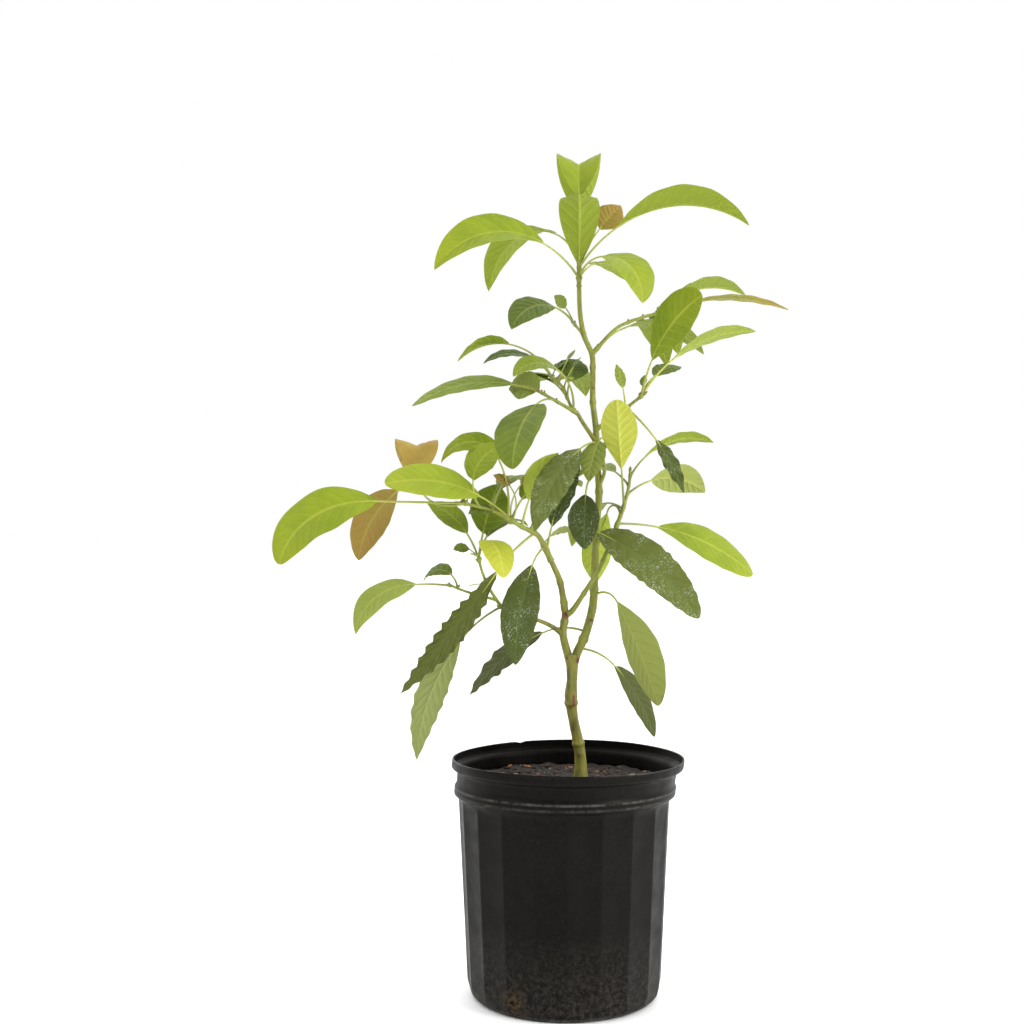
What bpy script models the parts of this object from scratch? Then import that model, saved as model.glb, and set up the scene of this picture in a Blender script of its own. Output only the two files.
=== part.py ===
"""Young avocado tree growing in a black nursery pot, as one assembly of separate solids.

The pot stands on its flat underside at the origin, +Z up, and the tree is seen from -Y.
Lengths in the tables are millimetres and angles are degrees; every mesh is in metres.
A limb is a tapering tube along a smooth route. A mass of foliage is one or two shoots
with leaves: each leaf rises from its shoot on a stalk and bends down towards its tip.
"""
import math
import random
from collections import namedtuple

import bmesh
import bpy
import numpy as np
from mathutils.bvhtree import BVHTree

MM = 0.001
GAP = 0.3
SIDE_GAP = 0.45

# Nursery pot
POT_HEIGHT = 236.0
LIP_RADIUS = 117.0
LIP_DEPTH = 10.0
COLLAR_RADIUS = 109.0
BEAD_TOP = 209.0
BEAD_RADIUS = 110.5
BEAD_DEPTH = 10.0
BODY_TOP_RADIUS = 105.5
BODY_FOOT_RADIUS = 96.5
FOOT_RADIUS = 88.5
FOOT_HEIGHT = 14.0
WALL = 1.6
FLUTES = 20
FLUTE_DEPTH = 2.4
LIP_SHIFT = 4.0
DRAIN_RADIUS = 3.3
DRAIN_HEIGHT = 15.0
DRAIN_ANGLES = (-32.0, 88.0, 208.0)

# Potting mix
MIX_TOP = 212.0
MIX_ROUGHNESS = 2.2
MIX_SEED = 5
MIX_RINGS = 5
LEVEL_ROUND_TRUNK = 28.0

# Leaves
LEAF_THICKNESS = 1.4
LEAF_FOLD = 7.0
STALK_RADIUS = 1.3
STALK_TIP_RADIUS = 0.9
SMALL_LEAF = 31.0
SWINGS = (0, 5, -5, 10, -10, 15, -15)
GOLDEN_ANGLE = 137.5
FAR_SPREAD = 64.0

# Limbs
STRAIGHT_START = 2.5
SEARCH_STEPS = 1500
RING_POINTS = 8

# Route of each limb as (right, back, up) points, radius at the start and at the end
LIMBS = {
    "trunk": ([(17, 8, 212.3), (16, 7, 240), (9, 4, 275), (7, 2, 295), (8, 0, 315),
               (8, 0, 331), (8, 0, 337)], None),
    "leader": ([(12.2, 0, 337.3), (21, 0, 357), (28, 0, 382), (30, 0, 402),
                (31, 0, 432), (33, 0, 472), (35, 0, 500), (33, 0, 534), (32, 1, 562), (29, 3, 590),
                (29, 5, 620), (28, 4, 638), (20, 3, 657), (16, 1, 680), (15, 0, 705)], (4.0, 2.2)),
    "bough_left": ([(3.9, 0, 337.3), (-1, 0, 358), (1, -2, 377), (-1, -4, 394),
                    (-5, -7, 413), (-13, -10, 431)], (3.6, 2.7)),
    "bough_low_right": ([(1, -2, 377), (8, -7, 382), (21, -12, 402), (36, -14, 427),
                         (51, -12, 464)], (2.4, 2.0)),
    "bough_low_left": ([(-1, 0, 358), (-20, -7, 370), (-62, -20, 385)], (2.2, 1.7)),
    "bough_upper_left": ([(32, 0, 550), (19, -6, 568), (13, -8, 578)], (2.2, 1.9)),
    "bough_mid_right": ([(32, 0, 562), (46, -5, 573), (60, -8, 582)], (2.1, 1.8)),
}
TRUNK_GIRTH = ((0.0, 8.0), (0.06, 6.4), (0.16, 5.4), (0.55, 5.2), (0.66, 6.5), (0.8, 5.0),
               (0.93, 6.4), (1.0, 8.2))

# Shoots: the limb or shoot that each grows from, its route, radius at the start and at the end
SHOOTS = {
    "top": ("leader", [(15, 0, 705), (15, -1, 732)], (2.2, 1.6)),
    "high_left": ("leader", [(20, 3, 657), (10, 0, 668)], (1.5, 1.2)),
    "high_right": ("leader", [(28, 4, 638), (51, 8, 663), (68, 10, 672), (96, 12, 681)], (2.1, 1.3)),
    "mid_right": ("bough_mid_right", [(60, -8, 582), (78, -14, 596)], (1.8, 1.3)),
    "low_right": ("bough_low_right", [(51, -12, 464), (59, -12, 486), (64, -12, 507),
                                      (65, -12, 520)], (2.0, 1.3)),
    "centre": ("leader", [(35, 0, 506), (40, -6, 520), (38, -10, 537), (41, -12, 546)], (1.9, 1.5)),
    "left": ("bough_left", [(-13, -10, 431), (-21, -13, 448), (-28, -17, 458), (-42, -22, 465),
                            (-52, -26, 471), (-69, -32, 480), (-84, -38, 484),
                            (-98, -44, 488)], (2.7, 1.4)),
    "low_left": ("bough_low_left", [(-62, -20, 385), (-75, -22, 406), (-81, -22, 420),
                                    (-85, -20, 434)], (1.7, 1.3)),
    "low_left_side": ("low_left", [(-67, -21, 393), (-96, -20, 401), (-112, -18, 407)], (1.4, 1.1)),
    "upper_left": ("bough_upper_left", [(13, -8, 578), (-7, -12, 589), (-23, -14, 598)], (1.9, 1.3)),
    "upper_left_side": ("upper_left", [(8, -9, 581), (3, -2, 594), (-2, 4, 606),
                                       (-12, 8, 615)], (1.5, 1.2)),
}

# Each leaf: place along its shoot (0 to 1), heading seen from above (0 right, 90 away from the
# viewer), rise of its stalk, droop from there to its tip, stalk, blade, width, and how far the
# blade is turned about its midrib. Where given: share of the droop in the stalk (crook), how
# late the blade bends (late) or where it creases (crease), how far the stalk swings sideways
# (swing), fold of the blade, how far on it is widest (wide) and how pointed its tip is (blunt).
LEAVES = {
    "top": [
        (1.0, 88, 82, 150, 66, 104, 51, 0, dict(crease=0.44, fold=26, crook=0.03)),
        (0.55, -90, 80, -110, 5, 112, 42, 0,
         dict(crease=0.64, wide=1.1, blunt=0.6, crook=0.0, fold=12)),
        (0.7, -28, 54, 92, 55, 144, 42, -8, dict(fold=50, wide=1.15)),
        (0.9, 25, 62, 20, 42, 36, 30, 60, {}),
        (0.35, -38, 68, 160, 33, 79, 47, 18, dict(crook=0.42, blunt=0.7)),
        (0.3, 204, 55, 112, 50, 132, 44, -50, dict(fold=22)),
        (0.9, 138, 67, 148, 45, 122, 48, 0, dict(fold=16)),
    ],
    "high_left": [
        (0.9, 218, 48, 112, 30, 66, 36, -35, {}),
        (1.0, 165, 70, 30, 18, 18, 14, 60, {}),
    ],
    "high_right": [
        (1.0, 24, 46, 66, 24, 88, 28, -5, dict(fold=45)),
        (0.95, -25, 19, 42, 34, 105, 26, 22, {}),
        (0.97, -60, 50, 60, 3, 12, 8, 0, {}),
        (0.1, 38, 44, 84, 38, 128, 34, -10, {}),
    ],
    "mid_right": [
        (0.9, -48, 76, 54, 36, 88, 50, 85, dict(wide=1.15, blunt=0.5)),
        (0.9, 24, 56, 56, 50, 108, 31, -28, {}),
        (0.8, 40, 60, 60, 30, 42, 26, 20, {}),
        (0.9, 60, 80, 20, 10, 13, 8, 0, {}),
        (0.05, 175, 86, 16, 20, 25, 16, -40, {}),
        (0.1, -35, -38, 30, 46, 62, 15, 50, {}),
    ],
    "low_right": [
        (0.4, -112, 78, 2, 36, 70, 37, 5, dict(wide=1.25, blunt=0.5)),
        (0.9, 22, 60, 78, 22, 88, 28, -24, {}),
        (0.6, 34, 36, 68, 34, 75, 36, -50, {}),
        (0.22, 122, 85, 172, 30, 76, 38, 0, dict(crook=0.85, wide=1.25)),
        (0.08, 28, 1, 37, 46, 132, 44, 58, dict(blunt=0.5, wide=1.15, fold=3)),
    ],
    "centre": [
        (0.45, 232, 5, 98, 46, 54, 38, 0, dict(crook=0.9, blunt=0.7, wide=0.85)),
        (1.0, 238, 86, 165, 17, 48, 26, -10, dict(crook=0.8)),
        (1.0, 224, 18, 90, 37, 106, 34, -36, dict(crook=0.55)),
    ],
    "left": [
        (0.1, 24, 80, 22, 24, 80, 28, 40, {}),
        (0.16, 34, 58, 74, 9, 30, 18, -30, {}),
        (0.14, 223, -27, 62, 24, 101, 40, -25, dict(crook=0.6, blunt=0.7)),
        (0.3, 193, -34, 12, 53, 153, 26, -55, dict(crook=1.8, fold=3)),
        (0.54, 201, 44, 58, 40, 99, 44, -50, dict(blunt=0.5)),
        (1.0, 192, 1, 80, 84, 121, 47, -58,
         dict(crook=0.0, late=1.35, blunt=0.5, fold=8)),
        (0.98, 168, 57, 140, 78, 82, 46, -65, dict(crook=0.66, blunt=0.7)),
        (1.0, 190, -18, 60, 70, 84, 46, 0, dict(crook=-1.42, crease=0.5, fold=20, swing=-90)),
        (0.58, 164, 98, 165, 58, 76, 28, -45, dict(crook=0.2)),
        (0.86, 10, 122, 106, 27, 48, 40, 40, {}),
        (0.54, 0, 102, 80, 37, 20, 15, 40, {}),
        (0.54, 180, 122, 108, 36, 20, 15, -40, {}),
        (0.43, -35, 79, 40, 27, 58, 30, -35, {}),
        (0.66, 200, 30, 60, 6, 28, 16, -40, {}),
        (1.0, 170, 20, 50, 3, 14, 9, 0, {}),
    ],
    "low_left": [
        (1.0, 66, 72, 30, 26, 64, 40, 30, {}),
        (1.0, 52, 72, 100, 24, 74, 24, 10, {}),
        (1.0, -62, 76, 156, 21, 60, 34, 0, dict(crook=0.3, late=0.6, blunt=0.6)),
        (0.95, 152, 73, 58, 30, 57, 24, -45, {}),
        (0.98, 200, 66, 92, 14, 17, 12, -50, {}),
        (0.98, 250, 40, 50, 6, 16, 9, 0, {}),
        (0.5, 190, 10, 30, 4, 16, 8, 0, {}),
        (0.03, 178, -27, 60, 53, 127, 30, 100, dict(crook=0.43, fold=2)),
    ],
    "low_left_side": [
        (0.85, 152, 82, 145, 15, 38, 24, -30, {}),
        (1.0, 211, 8, 92, 38, 88, 28, -40, dict(crook=0.1, late=1.4)),
    ],
    "upper_left": [
        (0.55, 228, 20, 108, 32, 77, 64, 4, dict(crook=0.5, blunt=0.6, wide=0.8)),
        (0.95, 166, 24, 56, 31, 111, 31, -36, dict(blunt=0.6)),
        (0.9, 150, 40, 60, 8, 36, 34, -60, {}),
        (0.12, 215, 100, 150, 44, 62, 26, -35, dict(crook=0.45)),
    ],
    "upper_left_side": [
        (0.98, 150, 61, 98, 64, 66, 23, -40, dict(fold=35)),
        (0.98, 196, 58, 96, 20, 62, 22, -25, {}),
        (1.0, 40, 70, 60, 8, 22, 15, 0, {}),
        (0.8, 30, 75, 30, 26, 14, 10, 0, {}),
        (0.6, 20, 75, 30, 24, 14, 10, 0, {}),
        (0.35, 68, 78, 50, 18, 36, 32, 20, {}),
        (0.8, -60, 40, 80, 4, 24, 14, 0, {}),
    ],
}

Leaf = namedtuple("Leaf", "place heading rise droop stalk blade width turn more")

# Leaves that grow singly from the leader, in the same terms
LONE_LEAVES = {
    "leaf_front_right": (0.35, -150, -17, 36, 15, 139, 43, 48,
                         dict(swing=118, blunt=0.55, wide=0.8)),
    "leaf_hanging_right": (0.165, -36, 42, 112, 31, 111, 58, -66,
                           dict(crook=0.9, wide=1.1, blunt=0.6)),
    "leaf_narrow_right": (0.02, 22, -5, 66, 44, 88, 31, 60, dict(crook=0.62, blunt=0.6)),
    "leaf_low_left": (0.068, 150, 18, 70, 50, 113, 32, -55, dict(crook=0.6, fold=2)),
}

# Leaves on the far side of a shoot: how many, their blade length, and the seed they are dealt by
FAR_LEAVES = {
    "top": (2, 92, 94),
    "high_right": (2, 82, 158),
    "low_right": (2, 84, 7),
    "centre": (1, 68, 24),
    "left": (3, 86, 101),
    "upper_left_side": (3, 76, 63),
}

# Masses of foliage: the shoot that carries each, and the side shoot that forks from it
MASSES = {
    "foliage_low_left": ("low_left", "low_left_side"),
    "foliage_low_right": ("low_right",),
    "foliage_upper_left": ("upper_left", "upper_left_side"),
    "foliage_left": ("left",),
    "foliage_centre": ("centre",),
    "foliage_mid_right": ("mid_right",),
    "foliage_high_right": ("high_right",),
    "foliage_high_left": ("high_left",),
    "foliage_top": ("top",),
}


def new_collection(name):
    """An empty collection in the scene."""
    made = bpy.data.collections.new(name)
    bpy.context.scene.collection.children.link(made)
    return made


def clear_scene():
    """Remove every object, so that the script starts from nothing."""
    for obj in list(bpy.data.objects):
        bpy.data.objects.remove(obj, do_unlink=True)


def material(name, color, roughness):
    """A plain Principled material of the part's own colour."""
    made = bpy.data.materials.new(name)
    made.use_nodes = True
    shader = made.node_tree.nodes["Principled BSDF"]
    shader.inputs["Base Color"].default_value = (*color, 1.0)
    shader.inputs["Roughness"].default_value = roughness
    shader.inputs["Metallic"].default_value = 0.0
    return made


def smooth_line(points, per_span=3):
    """A Catmull-Rom curve through the points, each span in equal steps."""
    p = np.array(points, float)
    if len(p) == 2:
        t = np.linspace(0.0, 1.0, per_span + 1)[:, None]
        return p[0] * (1 - t) + p[1] * t
    q = np.vstack([2 * p[0] - p[1], p, 2 * p[-1] - p[-2]])
    t = np.linspace(0.0, 1.0, per_span, endpoint=False)[:, None]
    spans = []
    for a, b, c, d in zip(q[:-3], q[1:-2], q[2:-1], q[3:]):
        cubic = 3 * b - a - 3 * c + d
        square = 2 * a - 5 * b + 4 * c - d
        spans.append(b + 0.5 * ((c - a) * t + square * t ** 2 + cubic * t ** 3))
    return np.vstack(spans + [p[-1:]])


def lengths_along(line):
    """Distance along a line at each of its points, from 0 to 1."""
    steps = np.linalg.norm(np.diff(line, axis=0), axis=1)
    total = np.concatenate([[0.0], np.cumsum(steps)])
    return total / total[-1]


def sample(line, places):
    """Points of a line at places from 0 to 1 along it."""
    along = lengths_along(line)
    return np.stack([np.interp(places, along, line[:, axis]) for axis in range(3)], axis=-1)


def as_mesh(obj, collection):
    """Turn a curve or modified object into a plain closed mesh object in the collection."""
    evaluated = obj.evaluated_get(bpy.context.evaluated_depsgraph_get())
    mesh = bpy.data.meshes.new_from_object(evaluated)
    bm = bmesh.new()
    bm.from_mesh(mesh)
    bmesh.ops.remove_doubles(bm, verts=bm.verts, dist=0.001 * MM)
    bmesh.ops.recalc_face_normals(bm, faces=bm.faces)
    bm.to_mesh(mesh)
    bm.free()
    name = obj.name
    made = bpy.data.objects.new(name + "_mesh", mesh)
    made.matrix_world = obj.matrix_world
    collection.objects.link(made)
    bpy.data.objects.remove(obj, do_unlink=True)
    made.name = name
    return made


def tube(name, line, radii, resolution, collection):
    """A tapering tube along a line: a curve with a bevel and filled caps, made a mesh."""
    curve = bpy.data.curves.new(name, "CURVE")
    curve.dimensions = "3D"
    curve.bevel_depth = 1.0
    curve.bevel_resolution = resolution
    curve.use_fill_caps = True
    spline = curve.splines.new("POLY")
    spline.points.add(len(line) - 1)
    spline.points.foreach_set("co", np.c_[line * MM, np.ones(len(line))].ravel())
    spline.points.foreach_set("radius", np.asarray(radii) * MM)
    obj = bpy.data.objects.new(name, curve)
    collection.objects.link(obj)
    return as_mesh(obj, collection)


def finish(obj, paint):
    """Give a solid its material and shade its round sides smooth."""
    obj.data.materials.clear()
    obj.data.materials.append(paint)
    obj.data.shade_smooth()
    obj.data.set_sharp_from_angle(angle=math.radians(40))


def tree_of(obj):
    """The solid's surface as a tree that can be tested for touching."""
    points = [obj.matrix_world @ v.co for v in obj.data.vertices]
    return BVHTree.FromPolygons(points, [tuple(p.vertices) for p in obj.data.polygons])


def pot_profile():
    """The pot's outside, as (radius, height) from the lip down to the middle of its underside."""
    lip_foot = POT_HEIGHT - LIP_DEPTH
    bead_foot = BEAD_TOP - BEAD_DEPTH
    return [
        (LIP_RADIUS - 1.2, POT_HEIGHT),
        (LIP_RADIUS, POT_HEIGHT - 1.5),
        (LIP_RADIUS - 0.8, lip_foot + 1.0),
        (COLLAR_RADIUS + 1.0, lip_foot - 1.0),
        (COLLAR_RADIUS - 0.5, BEAD_TOP + 1.5),
        (BEAD_RADIUS, BEAD_TOP - 1.5),
        (BEAD_RADIUS - 1.0, bead_foot + 1.5),
        (BODY_TOP_RADIUS, bead_foot - 1.5),
        (BODY_TOP_RADIUS - 0.4, bead_foot - 8.0),
        (0.5 * (BODY_TOP_RADIUS + BODY_FOOT_RADIUS), 0.5 * (bead_foot + FOOT_HEIGHT)),
        (BODY_FOOT_RADIUS, FOOT_HEIGHT),
        (BODY_FOOT_RADIUS - 3.0, 0.3 * FOOT_HEIGHT),
        (FOOT_RADIUS, 0.0),
        (0.0, 0.0),
    ]


def pot_radius(height):
    """Outer radius of the pot's wall at a height, before its flutes."""
    profile = pot_profile()[::-1]
    return float(np.interp(height, [z for _, z in profile[1:]], [r for r, _ in profile[1:]]))


def turned(name, profile, steps, collection):
    """A turned surface: the profile swept round +Z by a Screw modifier."""
    mesh = bpy.data.meshes.new(name)
    points = [(r * MM, 0.0, z * MM) for r, z in profile]
    mesh.from_pydata(points, [(i, i + 1) for i in range(len(points) - 1)], [])
    obj = bpy.data.objects.new(name, mesh)
    collection.objects.link(obj)
    screw = obj.modifiers.new("turn", "SCREW")
    screw.steps = steps
    screw.render_steps = steps
    screw.use_merge_vertices = True
    screw.merge_threshold = 0.05 * MM
    return as_mesh(obj, collection)


def fluted(x, y, z):
    """Sink the middle of each flute of the body, and lean the lip a little to the right."""
    radius = math.hypot(x, y)
    body_top = BEAD_TOP - BEAD_DEPTH - 1.0
    body_foot = 0.2 * FOOT_HEIGHT
    if radius > 1.0 and body_foot < z < body_top:
        turn = math.atan2(y, x) * FLUTES / math.tau
        sunk = FLUTE_DEPTH * (0.5 - 0.5 * math.cos(math.tau * turn))
        fade = min(1.0, (body_top - z) / 4.0, (z - body_foot) / 10.0)
        radius_scale = (radius - sunk * max(fade, 0.0)) / radius
        x *= radius_scale
        y *= radius_scale
    lean = min(max((z - body_top) / (POT_HEIGHT - body_top), 0.0), 1.0)
    return x + LIP_SHIFT * lean, y, z


def make_pot(parts, cutters, paint):
    """A blow-moulded pot: turned wall with a lip, a bead and flutes, and three drain holes."""
    pot = turned("pot", pot_profile(), 2 * FLUTES, parts)
    for vertex in pot.data.vertices:
        x, y, z = (c / MM for c in vertex.co)
        vertex.co = [c * MM for c in fluted(x, y, z)]
    shell = pot.modifiers.new("wall", "SOLIDIFY")
    shell.thickness = WALL * MM
    shell.offset = -1.0
    pot = as_mesh(pot, parts)
    for number, angle in enumerate(DRAIN_ANGLES):
        bm = bmesh.new()
        bmesh.ops.create_cone(bm, cap_ends=True, segments=10, depth=20 * MM,
                              radius1=DRAIN_RADIUS * MM, radius2=DRAIN_RADIUS * MM)
        mesh = bpy.data.meshes.new("drain")
        bm.to_mesh(mesh)
        bm.free()
        drill = bpy.data.objects.new(f"drain_cutter_{number}", mesh)
        away = math.radians(angle - 90.0)
        reach = (BODY_FOOT_RADIUS - 0.5 * WALL) * MM
        drill.location = (reach * math.cos(away), reach * math.sin(away), DRAIN_HEIGHT * MM)
        drill.rotation_euler = (0.0, math.pi / 2, away)
        drill.hide_render = True
        drill.display_type = "WIRE"
        cutters.objects.link(drill)
        cut = pot.modifiers.new("drain", "BOOLEAN")
        cut.object = drill
    finish(pot, paint)
    return pot


def make_mix(parts, paint):
    """The potting mix that fills the pot, with an uneven top that is level round the trunk."""
    clear = WALL + FLUTE_DEPTH + GAP
    floor = WALL + GAP
    heights = (MIX_TOP, BEAD_TOP - BEAD_DEPTH - 2.0, FOOT_HEIGHT, floor + 4.0)
    wall = [(pot_radius(z) - clear, z) for z in heights]
    wall.append((FOOT_RADIUS - clear - 2.0, floor))
    top = [(wall[0][0] * ring / MIX_RINGS, MIX_TOP) for ring in range(MIX_RINGS)]
    mix = turned("potting_mix", top + wall + [(0.0, floor)], 24, parts)
    rng = random.Random(MIX_SEED)
    foot = LIMBS["trunk"][0][0]
    for vertex in mix.data.vertices:
        x, y, z = (c / MM for c in vertex.co)
        lift = rng.uniform(-MIX_ROUGHNESS, MIX_ROUGHNESS)
        apart = math.hypot(x - foot[0], y - foot[1])
        if z > MIX_TOP - 1.0 and apart > LEVEL_ROUND_TRUNK:
            vertex.co.z += lift * MM
    finish(mix, paint)
    return mix


def girth(name, count):
    """Radius at each point of a limb: the trunk's swellings, or an even taper."""
    if name == "trunk":
        return np.interp(np.linspace(0, 1, count), *np.array(TRUNK_GIRTH).T)
    start, end = LIMBS[name][1]
    return np.linspace(start, end, count)


def clear_start(line, radius, carrier, carrier_radii):
    """Drop the start of a line until its end ring stands clear of the limb it grows from."""
    fine = sample(line, np.linspace(0, 1, SEARCH_STEPS))
    tangents = np.gradient(fine, axis=0)
    tangents /= np.linalg.norm(tangents, axis=1)[:, None]
    dense = sample(carrier, np.linspace(0, 1, SEARCH_STEPS))
    reach = np.interp(np.linspace(0, 1, SEARCH_STEPS), lengths_along(carrier), carrier_radii)
    turns = np.linspace(0, math.tau, RING_POINTS, endpoint=False)
    for point, tangent in zip(fine, tangents):
        side = np.cross(tangent, (0.31, 0.87, 0.38))
        side /= np.linalg.norm(side)
        other = np.cross(tangent, side)
        ring = point + radius * (np.cos(turns)[:, None] * side + np.sin(turns)[:, None] * other)
        apart = np.linalg.norm(ring[:, None] - dense[None], axis=2) - reach[None]
        if apart.min() >= SIDE_GAP:
            places = lengths_along(line)
            place = lengths_along(fine)[np.argmin(np.linalg.norm(fine - point, axis=1))]
            rest = line[places > place + 0.02]
            return np.vstack([point, rest])
    return line


def continue_from(line, carrier):
    """Start a line GAP beyond the tip of the limb that carries it, in the limb's direction."""
    ahead = carrier[-1] - carrier[-2]
    ahead = ahead / np.linalg.norm(ahead)
    keep = line[np.linalg.norm(line - carrier[-1], axis=1) > 1.6 * STRAIGHT_START]
    return np.vstack([carrier[-1] + GAP * ahead, carrier[-1] + STRAIGHT_START * ahead, keep])


def upright_start(line):
    """Let a line leave its first point straight up, for an end that is cut level."""
    keep = line[np.linalg.norm(line - line[0], axis=1) > 2.0 * STRAIGHT_START]
    return np.vstack([line[0], line[0] + (0, 0, STRAIGHT_START), keep])


def limb_lines():
    """The centre line of every limb, side boughs starting clear of what they grow from."""
    carriers = {
        "bough_low_right": "bough_left",
        "bough_low_left": "bough_left",
        "bough_upper_left": "leader",
        "bough_mid_right": "leader",
    }
    lines = {}
    for name, (route, _) in LIMBS.items():
        if name in carriers:
            base = lines[carriers[name]]
            radii = girth(carriers[name], len(base))
            lines[name] = clear_start(smooth_line(route, 3), LIMBS[name][1][0], base, radii)
        else:
            lines[name] = upright_start(smooth_line(route, 2))
    return lines


def bend_share(place, more):
    """Share of a blade's own bend reached at a place along it: even, late, or at a crease."""
    if "crease" not in more:
        return place ** more.get("late", 1)
    ends = 1.0 / (1.0 + np.exp((more["crease"] - np.array([0.0, 1.0])) / 0.07))
    share = 1.0 / (1.0 + np.exp((more["crease"] - place) / 0.07))
    return (share - ends[0]) / (ends[1] - ends[0])


def leaf_line(start, leaf, steps=24):
    """Stalk and midrib of a leaf as one bending line, with its directions and its upper side.

    The line heads one way seen from above and rises at first. It bends down at a steady rate
    over the stalk, then over the blade, by the leaf's droop in all.
    """
    crook = leaf.more.get("crook", leaf.stalk / (leaf.stalk + leaf.blade))
    on_stalk = np.linspace(0, 1, steps)
    on_blade = np.linspace(0, 1, steps)[1:]
    bend = np.concatenate([crook * on_stalk,
                           crook + (1 - crook) * bend_share(on_blade, leaf.more)])
    lift = np.radians(leaf.rise - leaf.droop * bend)
    swing = np.concatenate([on_stalk, np.ones(steps - 1)]) * leaf.more.get("swing", 0.0)
    turn = np.radians(leaf.heading + swing)
    ahead = np.stack([np.cos(lift) * np.cos(turn), np.cos(lift) * np.sin(turn), np.sin(lift)], 1)
    upper = np.stack([-np.sin(lift) * np.cos(turn), -np.sin(lift) * np.sin(turn), np.cos(lift)], 1)
    distance = np.concatenate([leaf.stalk * on_stalk, leaf.stalk + leaf.blade * on_blade])
    step = 0.5 * (ahead[1:] + ahead[:-1]) * np.diff(distance)[:, None]
    line = np.vstack([start, start + np.cumsum(step, axis=0)])
    return line, ahead, upper


def half_width(place, width, more):
    """Half the blade's width at a place from 0 at its base to 1 at its tip. It is widest
    further on as wide grows, and its ends are rounder as blunt falls."""
    wide, blunt = more.get("wide", 0.92), more.get("blunt", 0.85)
    full = np.sin(np.pi * np.clip(place, 0, 1) ** wide) ** np.where(place < 0.5, 0.85, blunt)
    return np.maximum(0.5 * width * full, 0.8)


def make_blade(name, leaf, line, ahead, upper, collection):
    """A leaf blade: a small grid bent along the midrib and folded about it, made solid."""
    turn = math.radians(leaf.turn)
    fold = math.radians(leaf.more.get("fold", LEAF_FOLD))
    rows = 2 if leaf.blade < SMALL_LEAF else 4
    base = len(line) // 2
    places = np.linspace(0, 1, rows + 1) ** 0.9
    parts = [np.stack([np.interp(places, np.linspace(0, 1, len(line) - base), a[base:, k])
                       for k in range(3)], 1) for a in (line, ahead, upper)]
    middle, forward, above = parts
    side = np.cross(forward, above)
    above = above * math.cos(turn) + side * math.sin(turn)
    side = np.cross(forward, above)
    half = half_width(places, leaf.width, leaf.more)
    across = np.array([-1.0, 0.0, 1.0])
    out = side[:, None] * (across[None, :, None] * half[:, None, None] * math.cos(fold))
    up = above[:, None] * (np.abs(across)[None, :, None] * half[:, None, None] * math.sin(fold))
    points = (middle[:, None] + out + up) * MM
    bm = bmesh.new()
    bmesh.ops.create_grid(bm, x_segments=2, y_segments=rows, size=1.0)
    for vertex in bm.verts:
        column = round(vertex.co.x + 1.0)
        row = round(0.5 * (vertex.co.y + 1.0) * rows)
        vertex.co = points[row, column]
    mesh = bpy.data.meshes.new(name)
    bm.to_mesh(mesh)
    bm.free()
    obj = bpy.data.objects.new(name, mesh)
    collection.objects.link(obj)
    shell = obj.modifiers.new("thickness", "SOLIDIFY")
    shell.thickness = LEAF_THICKNESS * MM
    shell.offset = 0.0
    return as_mesh(obj, collection)


def make_leaf(name, leaf, start, collection, clear_of=None):
    """One leaf as a stalk and a blade, the blade's foot sunk in the stalk's end."""
    line, ahead, upper = leaf_line(start, leaf)
    base = len(line) // 2
    count = 2 if leaf.blade < SMALL_LEAF else 3
    stalk = sample(line[:base + 1], np.linspace(0, 1, count))
    into = sample(line[base:], [0.1])
    stalk = np.vstack([stalk, into])
    if clear_of is not None:
        stalk = clear_start(stalk, STALK_RADIUS, *clear_of)
    thin = min(1.0, 0.6 + leaf.blade / 120.0)
    radii = thin * np.linspace(STALK_RADIUS, STALK_TIP_RADIUS, len(stalk))
    stem = tube(name + "_stalk", stalk, radii, 0, collection)
    blade = make_blade(name + "_blade", leaf, line, ahead, upper, collection)
    return [stem, blade]


def far_leaves(shoot):
    """Leaves that head away from the viewer, at golden-angle turns narrowed to the far side."""
    made = []
    count, length, seed = FAR_LEAVES.get(shoot, (0, 0, 0))
    rng = random.Random(seed)
    for number in range(count):
        spin = (number * GOLDEN_ANGLE + rng.uniform(-12, 12)) % FAR_SPREAD
        place = 0.3 + 0.6 * (number + rng.random()) / count
        size = length * rng.uniform(0.9, 1.12)
        made.append(Leaf(place, 90 - 0.5 * FAR_SPREAD + spin, rng.uniform(20, 70),
                         rng.uniform(70, 105), 0.36 * size, size, 0.38 * size,
                         rng.uniform(-15, 15), {}))
    return made


def place_leaf(name, leaf, line, collection, standing, clear_of=None):
    """Add a leaf where it touches nothing, swung aside if need be, or leave it out."""
    start = sample(line, [leaf.place])[0]
    for swing in SWINGS:
        turned_leaf = leaf._replace(heading=leaf.heading + swing)
        pieces = make_leaf(name, turned_leaf, start, collection, clear_of)
        touching = any(tree_of(p).overlap(other) for p in pieces for other in standing)
        if not touching:
            return pieces
        for piece in pieces:
            bpy.data.objects.remove(piece, do_unlink=True)
    return []


def fuse(name, stem, pieces, bundle):
    """Join stalks, blades and side shoots to the stem by one union on a collection."""
    for piece in pieces:
        bundle.objects.link(piece)
        for held in list(piece.users_collection):
            if held is not bundle:
                held.objects.unlink(piece)
    join = stem.modifiers.new("join", "BOOLEAN")
    join.operation = "UNION"
    join.operand_type = "COLLECTION"
    join.collection = bundle
    join.solver = "MANIFOLD"
    home = stem.users_collection[0]
    whole = as_mesh(stem, home)
    for piece in pieces:
        bpy.data.objects.remove(piece, do_unlink=True)
    bpy.data.collections.remove(bundle)
    keep_one_body(whole)
    whole.name = name
    return whole


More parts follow.
